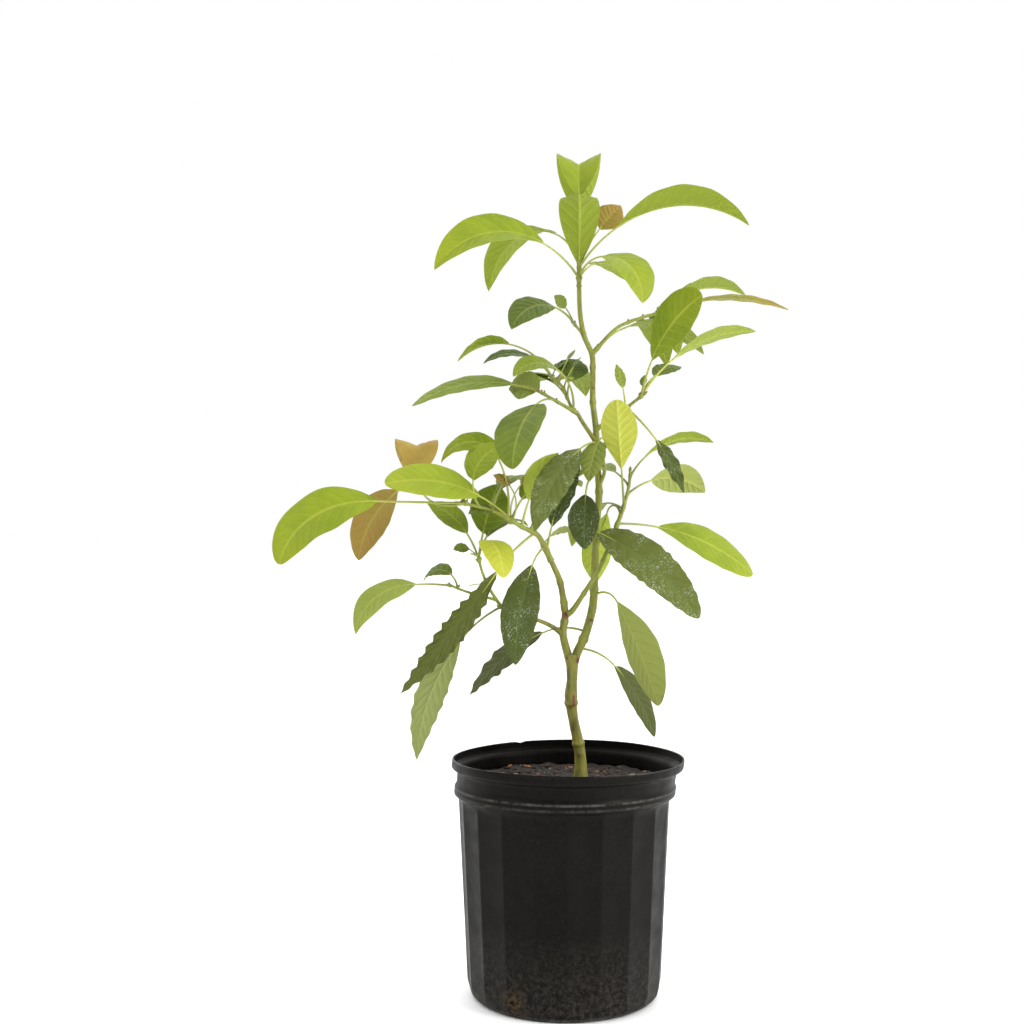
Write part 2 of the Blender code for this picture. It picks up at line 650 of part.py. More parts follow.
def keep_one_body(obj):
    """Drop loose scraps and sealed hollows, so that the shell with the most faces is left."""
    bm = bmesh.new()
    bm.from_mesh(obj.data)
    waiting = set(bm.faces)
    shells = []
    while waiting:
        stack = [waiting.pop()]
        shell = []
        while stack:
            face = stack.pop()
            shell.append(face)
            for edge in face.edges:
                for other in edge.link_faces:
                    if other in waiting:
                        waiting.remove(other)
                        stack.append(other)
        shells.append(shell)
    shells.sort(key=len)
    for shell in shells[:-1]:
        bmesh.ops.delete(bm, geom=shell, context="FACES")
    loose = [v for v in bm.verts if not v.link_faces]
    bmesh.ops.delete(bm, geom=loose, context="VERTS")
    bm.to_mesh(obj.data)
    bm.free()


def shoot_line(name, lines):
    """The centre line of a shoot, starting on the tip or on the side of what carries it."""
    carrier, route, radii = SHOOTS[name]
    line = smooth_line(route, 2)
    if carrier not in LIMBS:
        return line
    base = lines[carrier]
    at_tip = np.linalg.norm(line[0] - base[-1]) < 1.0
    if at_tip:
        return continue_from(line, base)
    return clear_start(smooth_line(route, 3), radii[0], base, girth(carrier, len(base)))


def make_mass(name, shoots, lines, parts, standing, paint):
    """One mass of foliage: its shoots with all their leaves, fused into one solid."""
    bundle = new_collection(name + "_pieces")
    stems = []
    pieces = []
    for shoot in shoots:
        line = shoot_line(shoot, lines)
        start, end = SHOOTS[shoot][2]
        stems.append(tube(shoot + "_stem", line, np.linspace(start, end, len(line)), 1, parts))
        route = smooth_line(SHOOTS[shoot][1], 8)
        near = [Leaf(*row) for row in LEAVES[shoot]]
        for number, leaf in enumerate(near + far_leaves(shoot)):
            pieces += place_leaf(f"{shoot}_{number}", leaf, route, parts, standing)
    whole = fuse(name, stems[0], stems[1:] + pieces, bundle)
    finish(whole, paint)
    return whole


def make_lone_leaf(name, leaf, lines, parts, standing, paint):
    """A leaf that grows singly from the leader, its stalk starting clear of the bark."""
    bundle = new_collection(name + "_pieces")
    leader = lines["leader"]
    carrier = (leader, girth("leader", len(leader)))
    pieces = place_leaf(name, leaf, leader, parts, standing, carrier)
    whole = fuse(name, pieces[0], pieces[1:], bundle)
    finish(whole, paint)
    return whole


def main():
    """Build the pot, its mix, the limbs and the foliage."""
    clear_scene()
    parts = new_collection("avocado_tree_in_pot")
    cutters = new_collection("cutters")
    black = material("pot_plastic", (0.022, 0.022, 0.024), 0.5)
    earth = material("potting_mix", (0.075, 0.045, 0.03), 0.95)
    bark = material("bark", (0.2, 0.23, 0.06), 0.6)
    green = material("leaf", (0.22, 0.36, 0.07), 0.5)
    make_pot(parts, cutters, black)
    mix = make_mix(parts, earth)
    lines = limb_lines()
    standing = [tree_of(mix)]
    for name, line in lines.items():
        limb = tube(name, line, girth(name, len(line)), 3 if name == "trunk" else 2, parts)
        finish(limb, bark)
        standing.append(tree_of(limb))
    for name, row in LONE_LEAVES.items():
        whole = make_lone_leaf(name, Leaf(*row), lines, parts, standing, green)
        standing.append(tree_of(whole))
    for name, shoots in MASSES.items():
        whole = make_mass(name, shoots, lines, parts, standing, green)
        standing.append(tree_of(whole))


main()
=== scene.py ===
"""Looks of the young avocado tree in its black nursery pot.

The pot stands at the origin, +Z up, and the tree is seen from -Y. Lengths in the tables are
millimetres and angles are degrees; every mesh is in metres. Each surface is a stack of closed
rings of points, worked out as whole arrays and skinned with faces.
"""

import math
import random
from collections import namedtuple

import bpy
import numpy as np
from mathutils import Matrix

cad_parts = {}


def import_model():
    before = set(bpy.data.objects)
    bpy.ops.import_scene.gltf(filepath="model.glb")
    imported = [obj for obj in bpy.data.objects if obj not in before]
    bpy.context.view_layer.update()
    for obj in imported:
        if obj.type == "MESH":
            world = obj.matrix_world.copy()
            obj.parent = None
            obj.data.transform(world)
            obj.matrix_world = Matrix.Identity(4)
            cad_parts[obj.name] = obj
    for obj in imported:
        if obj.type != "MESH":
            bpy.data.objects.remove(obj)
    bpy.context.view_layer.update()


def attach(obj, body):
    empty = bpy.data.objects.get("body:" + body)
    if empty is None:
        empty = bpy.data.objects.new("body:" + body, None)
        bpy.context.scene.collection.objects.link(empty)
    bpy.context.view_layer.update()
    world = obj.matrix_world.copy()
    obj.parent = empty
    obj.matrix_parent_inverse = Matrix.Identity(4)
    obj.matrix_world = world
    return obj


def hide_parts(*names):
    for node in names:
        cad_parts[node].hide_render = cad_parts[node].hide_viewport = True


MM = 0.001

# View
EYE = (-0.052, -1.42, 0.463)
LENS = 49.96
HORIZON_SHIFT = 17 / 1024
FLOOR_REACH = 30.0

# Light: of the room in front, from behind and from above, then the place and power of each softbox
ROOM_LIGHT = 0.22
BACKDROP_LIGHT = 1.65
CEILING_LIGHT = 1.1
SOFTBOXES = {
    "softbox_right": ((1.6, -1.0, 1.1), 34.0),
    "softbox_left": ((-1.5, -0.8, 1.5), 12.0),
}
SOFTBOX_SIZE = 0.9
LIT_PLACE = (0.0, 0.0, 0.45)

# Nursery pot
POT_HEIGHT = 236.0
LIP_RADIUS = 117.0
LIP_DEPTH = 10.0
COLLAR_RADIUS = 109.0
BEAD_TOP = 209.0
BEAD_RADIUS = 110.5
BEAD_DEPTH = 10.0
BODY_TOP_RADIUS = 105.5
BODY_FOOT_RADIUS = 96.5
FOOT_RADIUS = 88.5
FOOT_HEIGHT = 14.0
WALL = 1.6
FLUTES = 20
FLUTE_DEPTH = 1.7
LIP_SHIFT = 4.0
DRAIN_RADIUS = 3.3
DRAIN_HEIGHT = 15.0
DRAIN_ANGLES = (-32.0, 88.0, 208.0)
DRAIN_SIDES = 28
SEAM_ANGLES = (269, 89)
NICK_ANGLE = 114
POT_TURNS = 400
PROFILE_STEP = 2.0

# Potting mix
MIX_TOP = 212.0
MIX_RADIUS = 104.0
CHIPS = 480
PERLITE = 26
SCRAPS = 26
MIX_SEED = 5

# Leaves
LEAF_FOLD = 7.0
BLADE_THICKNESS = 0.5
STALK_RADIUS = 1.3
STALK_TIP_RADIUS = 0.9
SMALL_LEAF = 31.0
GOLDEN_ANGLE = 137.5
FAR_SPREAD = 64.0
LOOK_SEED = 3

# Route of each limb as (right, back, up) points, radius at the start and at the end
LIMBS = {
    "trunk": ([(17, 8, 209), (17, 8, 215), (16, 7, 240), (9, 4, 275), (7, 2, 295), (8, 0, 315),
               (8, 0, 331), (8, 0, 338)], None),
    "leader": ([(8, 0, 320), (12.2, 0, 337), (21, 0, 357), (28, 0, 382), (30, 0, 402),
                (31, 0, 432), (33, 0, 472), (35, 0, 500), (33, 0, 534), (32, 1, 562), (29, 3, 590),
                (29, 5, 620), (28, 4, 638), (20, 3, 657), (16, 1, 680), (15, 0, 705)], (4.6, 2.2)),
    "bough_left": ([(8, 0, 320), (3.9, 0, 337), (-1, 0, 358), (1, -2, 377), (-1, -4, 394),
                    (-5, -7, 413), (-13, -10, 431)], (4.4, 2.7)),
    "bough_low_right": ([(1, -2, 377), (8, -7, 382), (21, -12, 402), (36, -14, 427),
                         (51, -12, 464)], (2.4, 2.0)),
    "bough_low_left": ([(-1, 0, 358), (-20, -7, 370), (-62, -20, 385)], (2.2, 1.7)),
    "bough_upper_left": ([(32, 0, 550), (19, -6, 568), (13, -8, 578)], (2.2, 1.9)),
    "bough_mid_right": ([(32, 0, 562), (46, -5, 573), (60, -8, 582)], (2.1, 1.8)),
}
TRUNK_GIRTH = ((0.0, 8.2), (0.04, 7.4), (0.12, 6.2), (0.22, 5.5), (0.36, 5.3), (0.5, 5.0),
               (0.6, 5.6), (0.68, 6.6), (0.8, 5.2), (0.9, 5.9), (1.0, 6.6))

# Shoots: the route of each, radius at its start and at its end
SHOOTS = {
    "top": ([(15, 0, 705), (15, -1, 732)], (2.2, 1.6)),
    "high_left": ([(20, 3, 657), (10, 0, 668)], (1.5, 1.2)),
    "high_right": ([(28, 4, 638), (51, 8, 663), (68, 10, 672), (96, 12, 681)], (2.1, 1.3)),
    "mid_right": ([(60, -8, 582), (78, -14, 596)], (1.8, 1.3)),
    "low_right": ([(51, -12, 464), (59, -12, 486), (64, -12, 507),
                                      (65, -12, 520)], (2.0, 1.3)),
    "centre": ([(35, 0, 506), (40, -6, 520), (38, -10, 537), (41, -12, 546)], (1.9, 1.5)),
    "left": ([(-13, -10, 431), (-21, -13, 448), (-28, -17, 458), (-42, -22, 465),
                            (-52, -26, 471), (-69, -32, 480), (-84, -38, 484),
                            (-98, -44, 488)], (2.7, 1.4)),
    "low_left": ([(-62, -20, 385), (-75, -22, 406), (-81, -22, 420),
                                    (-85, -20, 434)], (1.7, 1.3)),
    "low_left_side": ([(-67, -21, 393), (-96, -20, 401), (-112, -18, 407)], (1.4, 1.1)),
    "upper_left": ([(13, -8, 578), (-7, -12, 589), (-23, -14, 598)], (1.9, 1.3)),
    "upper_left_side": ([(8, -9, 581), (3, -2, 594), (-2, 4, 606),
                                       (-12, 8, 615)], (1.5, 1.2)),
}

# Each leaf: colour, place along its shoot (0 to 1), heading seen from above (0 right, 90 away
# from the viewer), rise of its stalk, droop from there to its tip, stalk, blade, width, and how
# far the blade is turned about its midrib. Where given: share of the droop in the stalk (crook),
# how late the blade bends (late) or where it creases (crease), how far the stalk swings sideways
# (swing), fold of the blade, how far on it is widest (wide) and how pointed its tip is (blunt),
# the height and number of the waves in its edge (wave, waves), the depth and number of the
# scallops in its outline (scallop, teeth), and a brown dry tip (burn).
LEAVES = {
    "top": [
        ("young", 1.0, 88, 82, 150, 66, 104, 51, 0, dict(crease=0.44, fold=26, crook=0.03)),
        ("young", 0.55, -90, 80, -110, 5, 112, 42, 0,
         dict(crease=0.64, wide=1.1, blunt=0.6, crook=0.0, fold=12)),
        ("young", 0.7, -28, 54, 92, 55, 144, 42, -8, dict(fold=50, wide=1.15)),
        ("bronze", 0.9, 25, 62, 20, 42, 36, 30, 60),
        ("young", 0.35, -38, 68, 160, 33, 79, 47, 18, dict(crook=0.42, blunt=0.7)),
        ("young", 0.3, 204, 55, 112, 50, 132, 44, -50, dict(fold=22)),
        ("young", 0.9, 138, 67, 148, 45, 122, 48, 0, dict(fold=16)),
    ],
    "high_left": [
        ("mature", 0.9, 218, 48, 112, 30, 66, 36, -35),
        ("mature", 1.0, 165, 70, 30, 18, 18, 14, 60),
    ],
    "high_right": [
        ("mid", 1.0, 24, 46, 66, 24, 88, 28, -5, dict(fold=45)),
        ("turning", 0.95, -25, 19, 42, 34, 105, 26, 22),
        ("young", 0.97, -60, 50, 60, 3, 12, 8, 0),
        ("mid", 0.1, 38, 44, 84, 38, 128, 34, -10),
    ],
    "mid_right": [
        ("young", 0.9, -48, 76, 54, 36, 88, 50, 85, dict(wide=1.15, blunt=0.5)),
        ("mid", 0.9, 24, 56, 56, 50, 108, 31, -28),
        ("mature", 0.8, 40, 60, 60, 30, 42, 26, 20),
        ("mature", 0.9, 60, 80, 20, 10, 13, 8, 0),
        ("mid", 0.05, 175, 86, 16, 20, 25, 16, -40),
        ("dark", 0.1, -35, -38, 30, 46, 62, 15, 50, dict(wave=2.6, waves=4)),
    ],
    "low_right": [
        ("yellow", 0.4, -112, 78, 2, 36, 70, 37, 5, dict(wide=1.25, blunt=0.5)),
        ("young", 0.9, 22, 60, 78, 22, 88, 28, -24),
        ("sage", 0.6, 34, 36, 68, 34, 75, 36, -50),
        ("young", 0.22, 122, 85, 172, 30, 76, 38, 0, dict(crook=0.85, wide=1.25)),
        ("young", 0.08, 28, 1, 37, 46, 132, 44, 58, dict(blunt=0.5, wide=1.15, fold=3)),
    ],
    "centre": [
        ("dark", 0.45, 232, 5, 98, 46, 54, 38, 0, dict(crook=0.9, blunt=0.7, wide=0.85)),
        ("sage", 1.0, 238, 86, 165, 17, 48, 26, -10, dict(crook=0.8)),
        ("dark", 1.0, 224, 18, 90, 37, 106, 34, -36, dict(crook=0.55, wave=2.0, waves=7)),
    ],
    "left": [
        ("dark", 0.1, 24, 80, 22, 24, 80, 28, 40, dict(wave=1.6, waves=6)),
        ("sage", 0.16, 34, 58, 74, 9, 30, 18, -30),
        ("dark", 0.14, 223, -27, 62, 24, 101, 40, -25,
         dict(crook=0.6, blunt=0.7, wave=0.8, waves=8)),
        ("deep", 0.3, 193, -34, 12, 53, 153, 26, -55,
         dict(crook=1.8, fold=3, wave=2.6, waves=11, scallop=0.1, teeth=11)),
        ("young", 0.54, 201, 44, 58, 40, 99, 44, -50, dict(blunt=0.5)),
        ("young", 1.0, 192, 1, 80, 84, 121, 47, -58,
         dict(crook=0.0, late=1.35, blunt=0.5, fold=8, wave=1.5, waves=2.5)),
        ("bronze", 0.98, 168, 57, 140, 78, 82, 46, -65, dict(crook=0.66, blunt=0.7)),
        ("tan", 1.0, 190, -18, 60, 70, 84, 46, 0,
         dict(crook=-1.42, crease=0.5, fold=20, swing=-90)),
        ("young", 0.58, 164, 98, 165, 58, 76, 28, -45, dict(crook=0.2)),
        ("young", 0.86, 10, 122, 106, 27, 48, 40, 40),
        ("bronze", 0.54, 0, 102, 80, 37, 20, 15, 40),
        ("bronze", 0.54, 180, 122, 108, 36, 20, 15, -40),
        ("young", 0.43, -35, 79, 40, 27, 58, 30, -35),
        ("mature", 0.66, 200, 30, 60, 6, 28, 16, -40),
        ("mature", 1.0, 170, 20, 50, 3, 14, 9, 0),
    ],
    "low_left": [
        ("mid", 1.0, 66, 72, 30, 26, 64, 40, 30),
        ("mid", 1.0, 52, 72, 100, 24, 74, 24, 10),
        ("yellow", 1.0, -62, 76, 156, 21, 60, 34, 0, dict(crook=0.3, late=0.6, blunt=0.6)),
        ("mid", 0.95, 152, 73, 58, 30, 57, 24, -45),
        ("mature", 0.98, 200, 66, 92, 14, 17, 12, -50),
        ("mid", 0.98, 250, 40, 50, 6, 16, 9, 0),
        ("mid", 0.5, 190, 10, 30, 4, 16, 8, 0),
        ("pale", 0.03, 178, -27, 60, 53, 127, 30, 100,
         dict(crook=0.43, fold=2, wave=1.8, waves=8, scallop=0.08, teeth=8)),
    ],
    "low_left_side": [
        ("mid", 0.85, 152, 82, 145, 15, 38, 24, -30),
        ("sage", 1.0, 211, 8, 92, 38, 88, 28, -40, dict(crook=0.1, late=1.4, wave=1.4, waves=2)),
    ],
    "upper_left": [
        ("mid", 0.55, 228, 20, 108, 32, 77, 64, 4, dict(crook=0.5, blunt=0.6, wide=0.8)),
        ("mid", 0.95, 166, 24, 56, 31, 111, 31, -36, dict(blunt=0.6)),
        ("sage", 0.9, 150, 40, 60, 8, 36, 34, -60),
        ("mid", 0.12, 215, 100, 150, 44, 62, 26, -35, dict(crook=0.45)),
    ],
    "upper_left_side": [
        ("young", 0.98, 150, 61, 98, 64, 66, 23, -40, dict(fold=35)),
        ("mature", 0.98, 196, 58, 96, 20, 62, 22, -25),
        ("mature", 1.0, 40, 70, 60, 8, 22, 15, 0),
        ("mature", 0.8, 30, 75, 30, 26, 14, 10, 0),
        ("mature", 0.6, 20, 75, 30, 24, 14, 10, 0),
        ("mature", 0.35, 68, 78, 50, 18, 36, 32, 20),
        ("mid", 0.8, -60, 40, 80, 4, 24, 14, 0),
    ],
}

Leaf = namedtuple("Leaf", "kind place heading rise droop stalk blade width turn more",
                  defaults=({},))

# Leaves that grow singly from the leader, in the same terms
LONE_LEAVES = {
    "leaf_front_right": ("dark", 0.35, -150, -17, 36, 15, 139, 43, 48,
                         dict(swing=118, blunt=0.55, wide=0.8, wave=1.0, waves=9, scallop=0.03,
                              teeth=12)),
    "leaf_hanging_right": ("sage", 0.165, -36, 42, 112, 31, 111, 58, -66,
                           dict(crook=0.9, wide=1.1, blunt=0.6, burn=1)),
    "leaf_narrow_right": ("deep", 0.02, 22, -5, 66, 44, 88, 31, 60, dict(crook=0.62, blunt=0.6)),
    "leaf_low_left": ("deep", 0.068, 150, 18, 70, 50, 113, 32, -55,
                      dict(crook=0.6, fold=2, wave=1.5, waves=6, scallop=0.05, teeth=9)),
}

# Leaves on the far side of a shoot: how many, their blade length, and the seed they are dealt by
FAR_LEAVES = {
    "top": (2, 92, 94),
    "high_right": (2, 82, 158),
    "low_right": (2, 84, 7),
    "centre": (1, 68, 24),
    "left": (3, 86, 101),
    "upper_left_side": (3, 76, 63),
}

# Masses of foliage: the shoot that carries each, and the side shoot that forks from it
MASSES = {
    "foliage_low_left": ("low_left", "low_left_side"),
    "foliage_low_right": ("low_right",),
    "foliage_upper_left": ("upper_left", "upper_left_side"),
    "foliage_left": ("left",),
    "foliage_centre": ("centre",),
    "foliage_mid_right": ("mid_right",),
    "foliage_high_right": ("high_right",),
    "foliage_high_left": ("high_left",),
    "foliage_top": ("top",),
}
YOUNG_MASSES = ("foliage_top", "foliage_high_right", "foliage_mid_right", "foliage_left")

# Old wounds in the bark: place, how far each spreads across and up, how far it stands out
SCARS = (
    (10, -5, 290, 2.0, 8.0, 0.9),
    (15, -2, 238, 3.4, 3.0, 1.6),
    (5, -3, 259, 1.8, 2.2, 1.2),
    (13, -4, 332, 2.2, 2.6, 0.6),
    (2, -5, 334, 1.8, 1.8, 0.8),
    (1, -6, 377, 2.6, 3.4, 0.9),
    (-3, -3, 384, 1.6, 2.0, 1.0),
    (27, -4, 372, 1.6, 1.8, 0.6),
    (32, -3, 473, 1.8, 2.0, 0.7),
    (32, -3, 541, 1.8, 2.4, 0.9),
    (29, 0, 604, 1.6, 2.0, 0.6),
)

# Colours of a leaf: blade, its other tone, its underside, its veins, its tip; then how strong
# the pale water spots are, its roughness, and the share of light that shines through it
Look = namedtuple("Look", "blade other under vein tip spots roughness glow")


def tint(red, green, blue):
    """A colour given as the 0 to 255 of a screen, in the linear terms of a shader."""
    shares = np.array([red, green, blue]) / 255.0
    linear = np.where(shares <= 0.04045, shares / 12.92, ((shares + 0.055) / 1.055) ** 2.4)
    return (*(float(share) for share in linear), 1.0)


LOOKS = {
    "young": Look((150, 168, 34), (128, 150, 28), (156, 172, 58),
                  (192, 198, 84), (168, 178, 46), 0.0, 0.5, 0.34),
    "mid": Look((124, 144, 42), (102, 124, 36), (142, 158, 64),
                (176, 184, 84), (130, 150, 44), 0.0, 0.5, 0.26),
    "mature": Look((64, 90, 24), (48, 72, 18), (116, 136, 56),
                   (140, 154, 68), (68, 92, 24), 0.12, 0.5, 0.1),
    "dark": Look((30, 50, 18), (20, 38, 13), (94, 116, 54),
                 (96, 118, 52), (32, 52, 18), 0.75, 0.55, 0.05),
    "deep": Look((24, 38, 8), (14, 25, 6), (90, 110, 46),
                 (84, 102, 36), (26, 40, 9), 0.12, 0.55, 0.05),
    "sage": Look((140, 154, 72), (124, 140, 62), (150, 160, 88),
                 (180, 184, 100), (150, 162, 76), 0.1, 0.55, 0.24),
    "pale": Look((136, 148, 92), (120, 134, 80), (146, 156, 100),
                 (170, 178, 116), (144, 154, 94), 0.1, 0.55, 0.2),
    "yellow": Look((204, 206, 72), (188, 194, 62), (202, 206, 90),
                   (220, 218, 118), (210, 210, 72), 0.0, 0.5, 0.32),
    "bronze": Look((166, 144, 68), (172, 134, 74), (170, 148, 82),
                   (186, 174, 92), (174, 132, 76), 0.0, 0.5, 0.3),
    "tan": Look((202, 176, 98), (182, 152, 78), (208, 184, 110),
                (170, 152, 82), (206, 172, 92), 0.0, 0.55, 0.32),
    "turning": Look((164, 164, 54), (148, 148, 50), (172, 166, 74),
                    (196, 188, 90), (192, 146, 76), 0.0, 0.5, 0.3),
}

Shell = namedtuple("Shell", "points quads corners marks")


def skin(rings, marks):
    """Closed skin over a stack of rings: four-sided faces between neighbouring rings, and a fan
    to the middle of each end ring. The marks are arrays with one value for each ring point."""
    rows, ring = rings.shape[:2]
    here = np.arange(rows * ring).reshape(rows, ring)
    beside = np.roll(here, -1, axis=1)
    quads = np.stack([here[:-1], beside[:-1], beside[1:], here[1:]], -1).reshape(-1, 4)
    foot = np.full(ring, rows * ring)
    corners = np.vstack([np.stack([beside[0], here[0], foot], -1),
                         np.stack([here[-1], beside[-1], foot + 1], -1)])
    points = np.vstack([rings.reshape(-1, 3), rings[[0, -1]].mean(1)])
    full = {}
    for name, values in marks.items():
        values = np.broadcast_to(values, (rows, ring))
        full[name] = np.concatenate([values.ravel(), values[[0, -1]].mean(1)])
    return Shell(points, quads, corners, full)


def as_object(name, shells, paint, stands_for=(), crease=50.0):
    """One mesh object of many shells, whose marks become attributes of its points."""
    starts = np.cumsum([0] + [len(shell.points) for shell in shells[:-1]])
    points = np.vstack([shell.points for shell in shells]) * MM
    quads = np.vstack([shell.quads + start for shell, start in zip(shells, starts)])
    corners = np.vstack([shell.corners + start for shell, start in zip(shells, starts)])
    sizes = np.concatenate([np.full(len(quads), 4), np.full(len(corners), 3)])
    loops = np.concatenate([quads.ravel(), corners.ravel()])
    mesh = bpy.data.meshes.new(name)
    mesh.vertices.add(len(points))
    mesh.vertices.foreach_set("co", points.ravel())
    mesh.loops.add(len(loops))
    mesh.loops.foreach_set("vertex_index", loops)
    mesh.polygons.add(len(sizes))
    mesh.polygons.foreach_set("loop_start", np.concatenate([[0], np.cumsum(sizes)[:-1]]))
    mesh.update(calc_edges=True)
    for mark in shells[0].marks:
        values = np.concatenate([shell.marks[mark] for shell in shells])
        mesh.attributes.new(mark, "FLOAT", "POINT").data.foreach_set("value", values)
    mesh.shade_smooth()
    mesh.set_sharp_from_angle(angle=math.radians(crease))
    mesh.materials.append(paint)
    made = bpy.data.objects.new(name, mesh)
    bpy.context.scene.collection.objects.link(made)
    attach(made, "root")
    if stands_for:
        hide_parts(*stands_for)
    return made


def smooth_line(points, per_span=8):
    """A Catmull-Rom curve through the points, each span in equal steps."""
    p = np.array(points, float)
    if len(p) == 2:
        t = np.linspace(0.0, 1.0, per_span + 1)[:, None]
        return p[0] * (1 - t) + p[1] * t
    q = np.vstack([2 * p[0] - p[1], p, 2 * p[-1] - p[-2]])
    t = np.linspace(0.0, 1.0, per_span, endpoint=False)[:, None]
    spans = []
    for a, b, c, d in zip(q[:-3], q[1:-2], q[2:-1], q[3:]):
        cubic = 3 * b - a - 3 * c + d
        square = 2 * a - 5 * b + 4 * c - d
        spans.append(b + 0.5 * ((c - a) * t + square * t ** 2 + cubic * t ** 3))
    return np.vstack(spans + [p[-1:]])


def lengths_along(line):
    """Distance along a line at each of its points, in millimetres."""
    steps = np.linalg.norm(np.diff(line, axis=0), axis=1)
    return np.concatenate([[0.0], np.cumsum(steps)])


def sample(line, places):
    """Points of a line at places from 0 to 1 along it."""
    along = lengths_along(line)
    at = np.asarray(places) * along[-1]
    return np.stack([np.interp(at, along, line[:, axis]) for axis in range(3)], axis=-1)


def unit(vectors):
    """The same directions, each of length one."""
    return vectors / np.linalg.norm(vectors, axis=-1, keepdims=True)


def ripple(along, around, seed, waves=9):
    """Soft random relief on a tube, from -1 to 1: a sum of sines that close round its girth."""
    rng = np.random.default_rng(seed)
    total = np.zeros(np.broadcast(along, around).shape)
    for _ in range(waves):
        turns = rng.integers(1, 8)
        pitch = rng.uniform(0.05, 0.6)
        total += np.sin(turns * around + pitch * along + rng.uniform(0, math.tau))
    return total / waves


def circle(side, front, count):
    """Outward directions at even turns from one direction towards another square to it."""
    around = np.linspace(0, math.tau, count, endpoint=False)[:, None]
    return np.cos(around) * side[..., None, :] + np.sin(around) * front[..., None, :]


def rings_along(line, radii, ring):
    """Rings of points about a line: each is a circle square to the line, its radius given at
    each of its points. Returns the points and the outward directions."""
    ahead = unit(np.gradient(line, axis=0))
    side = unit(np.cross(ahead, np.array([0.05, 1.0, 0.1])))
    front = np.cross(ahead, side)
    out = circle(side, front, ring)
    return line[:, None] + out * radii[..., None], out


def wounds(points):
    """How strongly each point lies in an old wound, and how far it stands out there."""
    strength = np.zeros(points.shape[:-1])
    raised = np.zeros(points.shape[:-1])
    for right, back, up, across, tall, height in SCARS:
        away = ((points[..., 0] - right) ** 2 + (points[..., 1] - back) ** 2) / across ** 2
        away = away + (points[..., 2] - up) ** 2 / tall ** 2
        near = np.exp(-0.5 * away ** 1.5)
        strength = np.maximum(strength, near)
        raised = raised + height * near * (1.0 - 0.9 * np.exp(-4.0 * away))
    return strength, raised


def limb_shell(line, radii, joints, age, seed, ring=28, step=1.0):
    """A limb: rings along its line, swollen where leaves join, with low ridges along the bark,
    raised wounds, and an age from 0 for green young wood to 1 for old brown wood."""
    length = lengths_along(line)[-1]
    count = max(12, int(length / step))
    places = np.linspace(0, 1, count)
    fine = sample(line, places)
    girth = np.interp(places, np.linspace(0, 1, len(radii)), radii)
    distance = places * length
    for joint in joints:
        girth = girth * (1 + 0.2 * np.exp(-((distance - joint * length) / 2.6) ** 2))
    around = np.linspace(0, math.tau, ring, endpoint=False)
    bark = ripple(distance[:, None], around[None], seed)
    fine_bark = ripple(4.0 * distance[:, None], 3 * around[None], seed + 50)
    radius = girth[:, None] * (1 + 0.045 * bark + 0.018 * fine_bark)
    rings, out = rings_along(fine, radius, ring)
    strength, raised = wounds(rings)
    rings = rings + out * raised[..., None]
    # the tone mark follows the bark's ridges; the bark paint darkens its low values as painted
    # shade in the hollows
    return skin(rings, {"scar": strength, "age": np.full_like(strength, age), "tone": 0.5 * bark})


def bend_share(place, more):
    """Share of a blade's own bend reached at a place along it: even, late, or at a crease."""
    if "crease" not in more:
        return place ** more.get("late", 1)
    ends = 1.0 / (1.0 + np.exp((more["crease"] - np.array([0.0, 1.0])) / 0.07))
    share = 1.0 / (1.0 + np.exp((more["crease"] - place) / 0.07))
    return (share - ends[0]) / (ends[1] - ends[0])


def leaf_line(start, leaf, steps=24):
    """Stalk and midrib of a leaf as one bending line, with its directions and its upper side.

    The line heads one way seen from above and rises at first. It bends down at a steady rate
    over the stalk, then over the blade, by the leaf's droop in all.
    """
    crook = leaf.more.get("crook", leaf.stalk / (leaf.stalk + leaf.blade))
    on_stalk = np.linspace(0, 1, steps)
    on_blade = np.linspace(0, 1, steps)[1:]
    bend = np.concatenate([crook * on_stalk,
                           crook + (1 - crook) * bend_share(on_blade, leaf.more)])
    lift = np.radians(leaf.rise - leaf.droop * bend)
    swing = np.concatenate([on_stalk, np.ones(steps - 1)]) * leaf.more.get("swing", 0.0)
    turn = np.radians(leaf.heading + swing)
    ahead = np.stack([np.cos(lift) * np.cos(turn), np.cos(lift) * np.sin(turn), np.sin(lift)], 1)
    upper = np.stack([-np.sin(lift) * np.cos(turn), -np.sin(lift) * np.sin(turn), np.cos(lift)], 1)
    distance = np.concatenate([leaf.stalk * on_stalk, leaf.stalk + leaf.blade * on_blade])
    step = 0.5 * (ahead[1:] + ahead[:-1]) * np.diff(distance)[:, None]
    line = np.vstack([start, start + np.cumsum(step, axis=0)])
    return line, ahead, upper


def half_width(place, width, more):
    """Half the blade's width at a place from 0 at its base to 1 at its tip. It is widest
    further on as wide grows, and its ends are rounder as blunt falls."""
    wide, blunt = more.get("wide", 0.92), more.get("blunt", 0.85)
    full = np.sin(np.pi * np.clip(place, 0, 1) ** wide) ** np.where(place < 0.5, 0.85, blunt)
    return np.maximum(0.5 * width * full, 0.2)


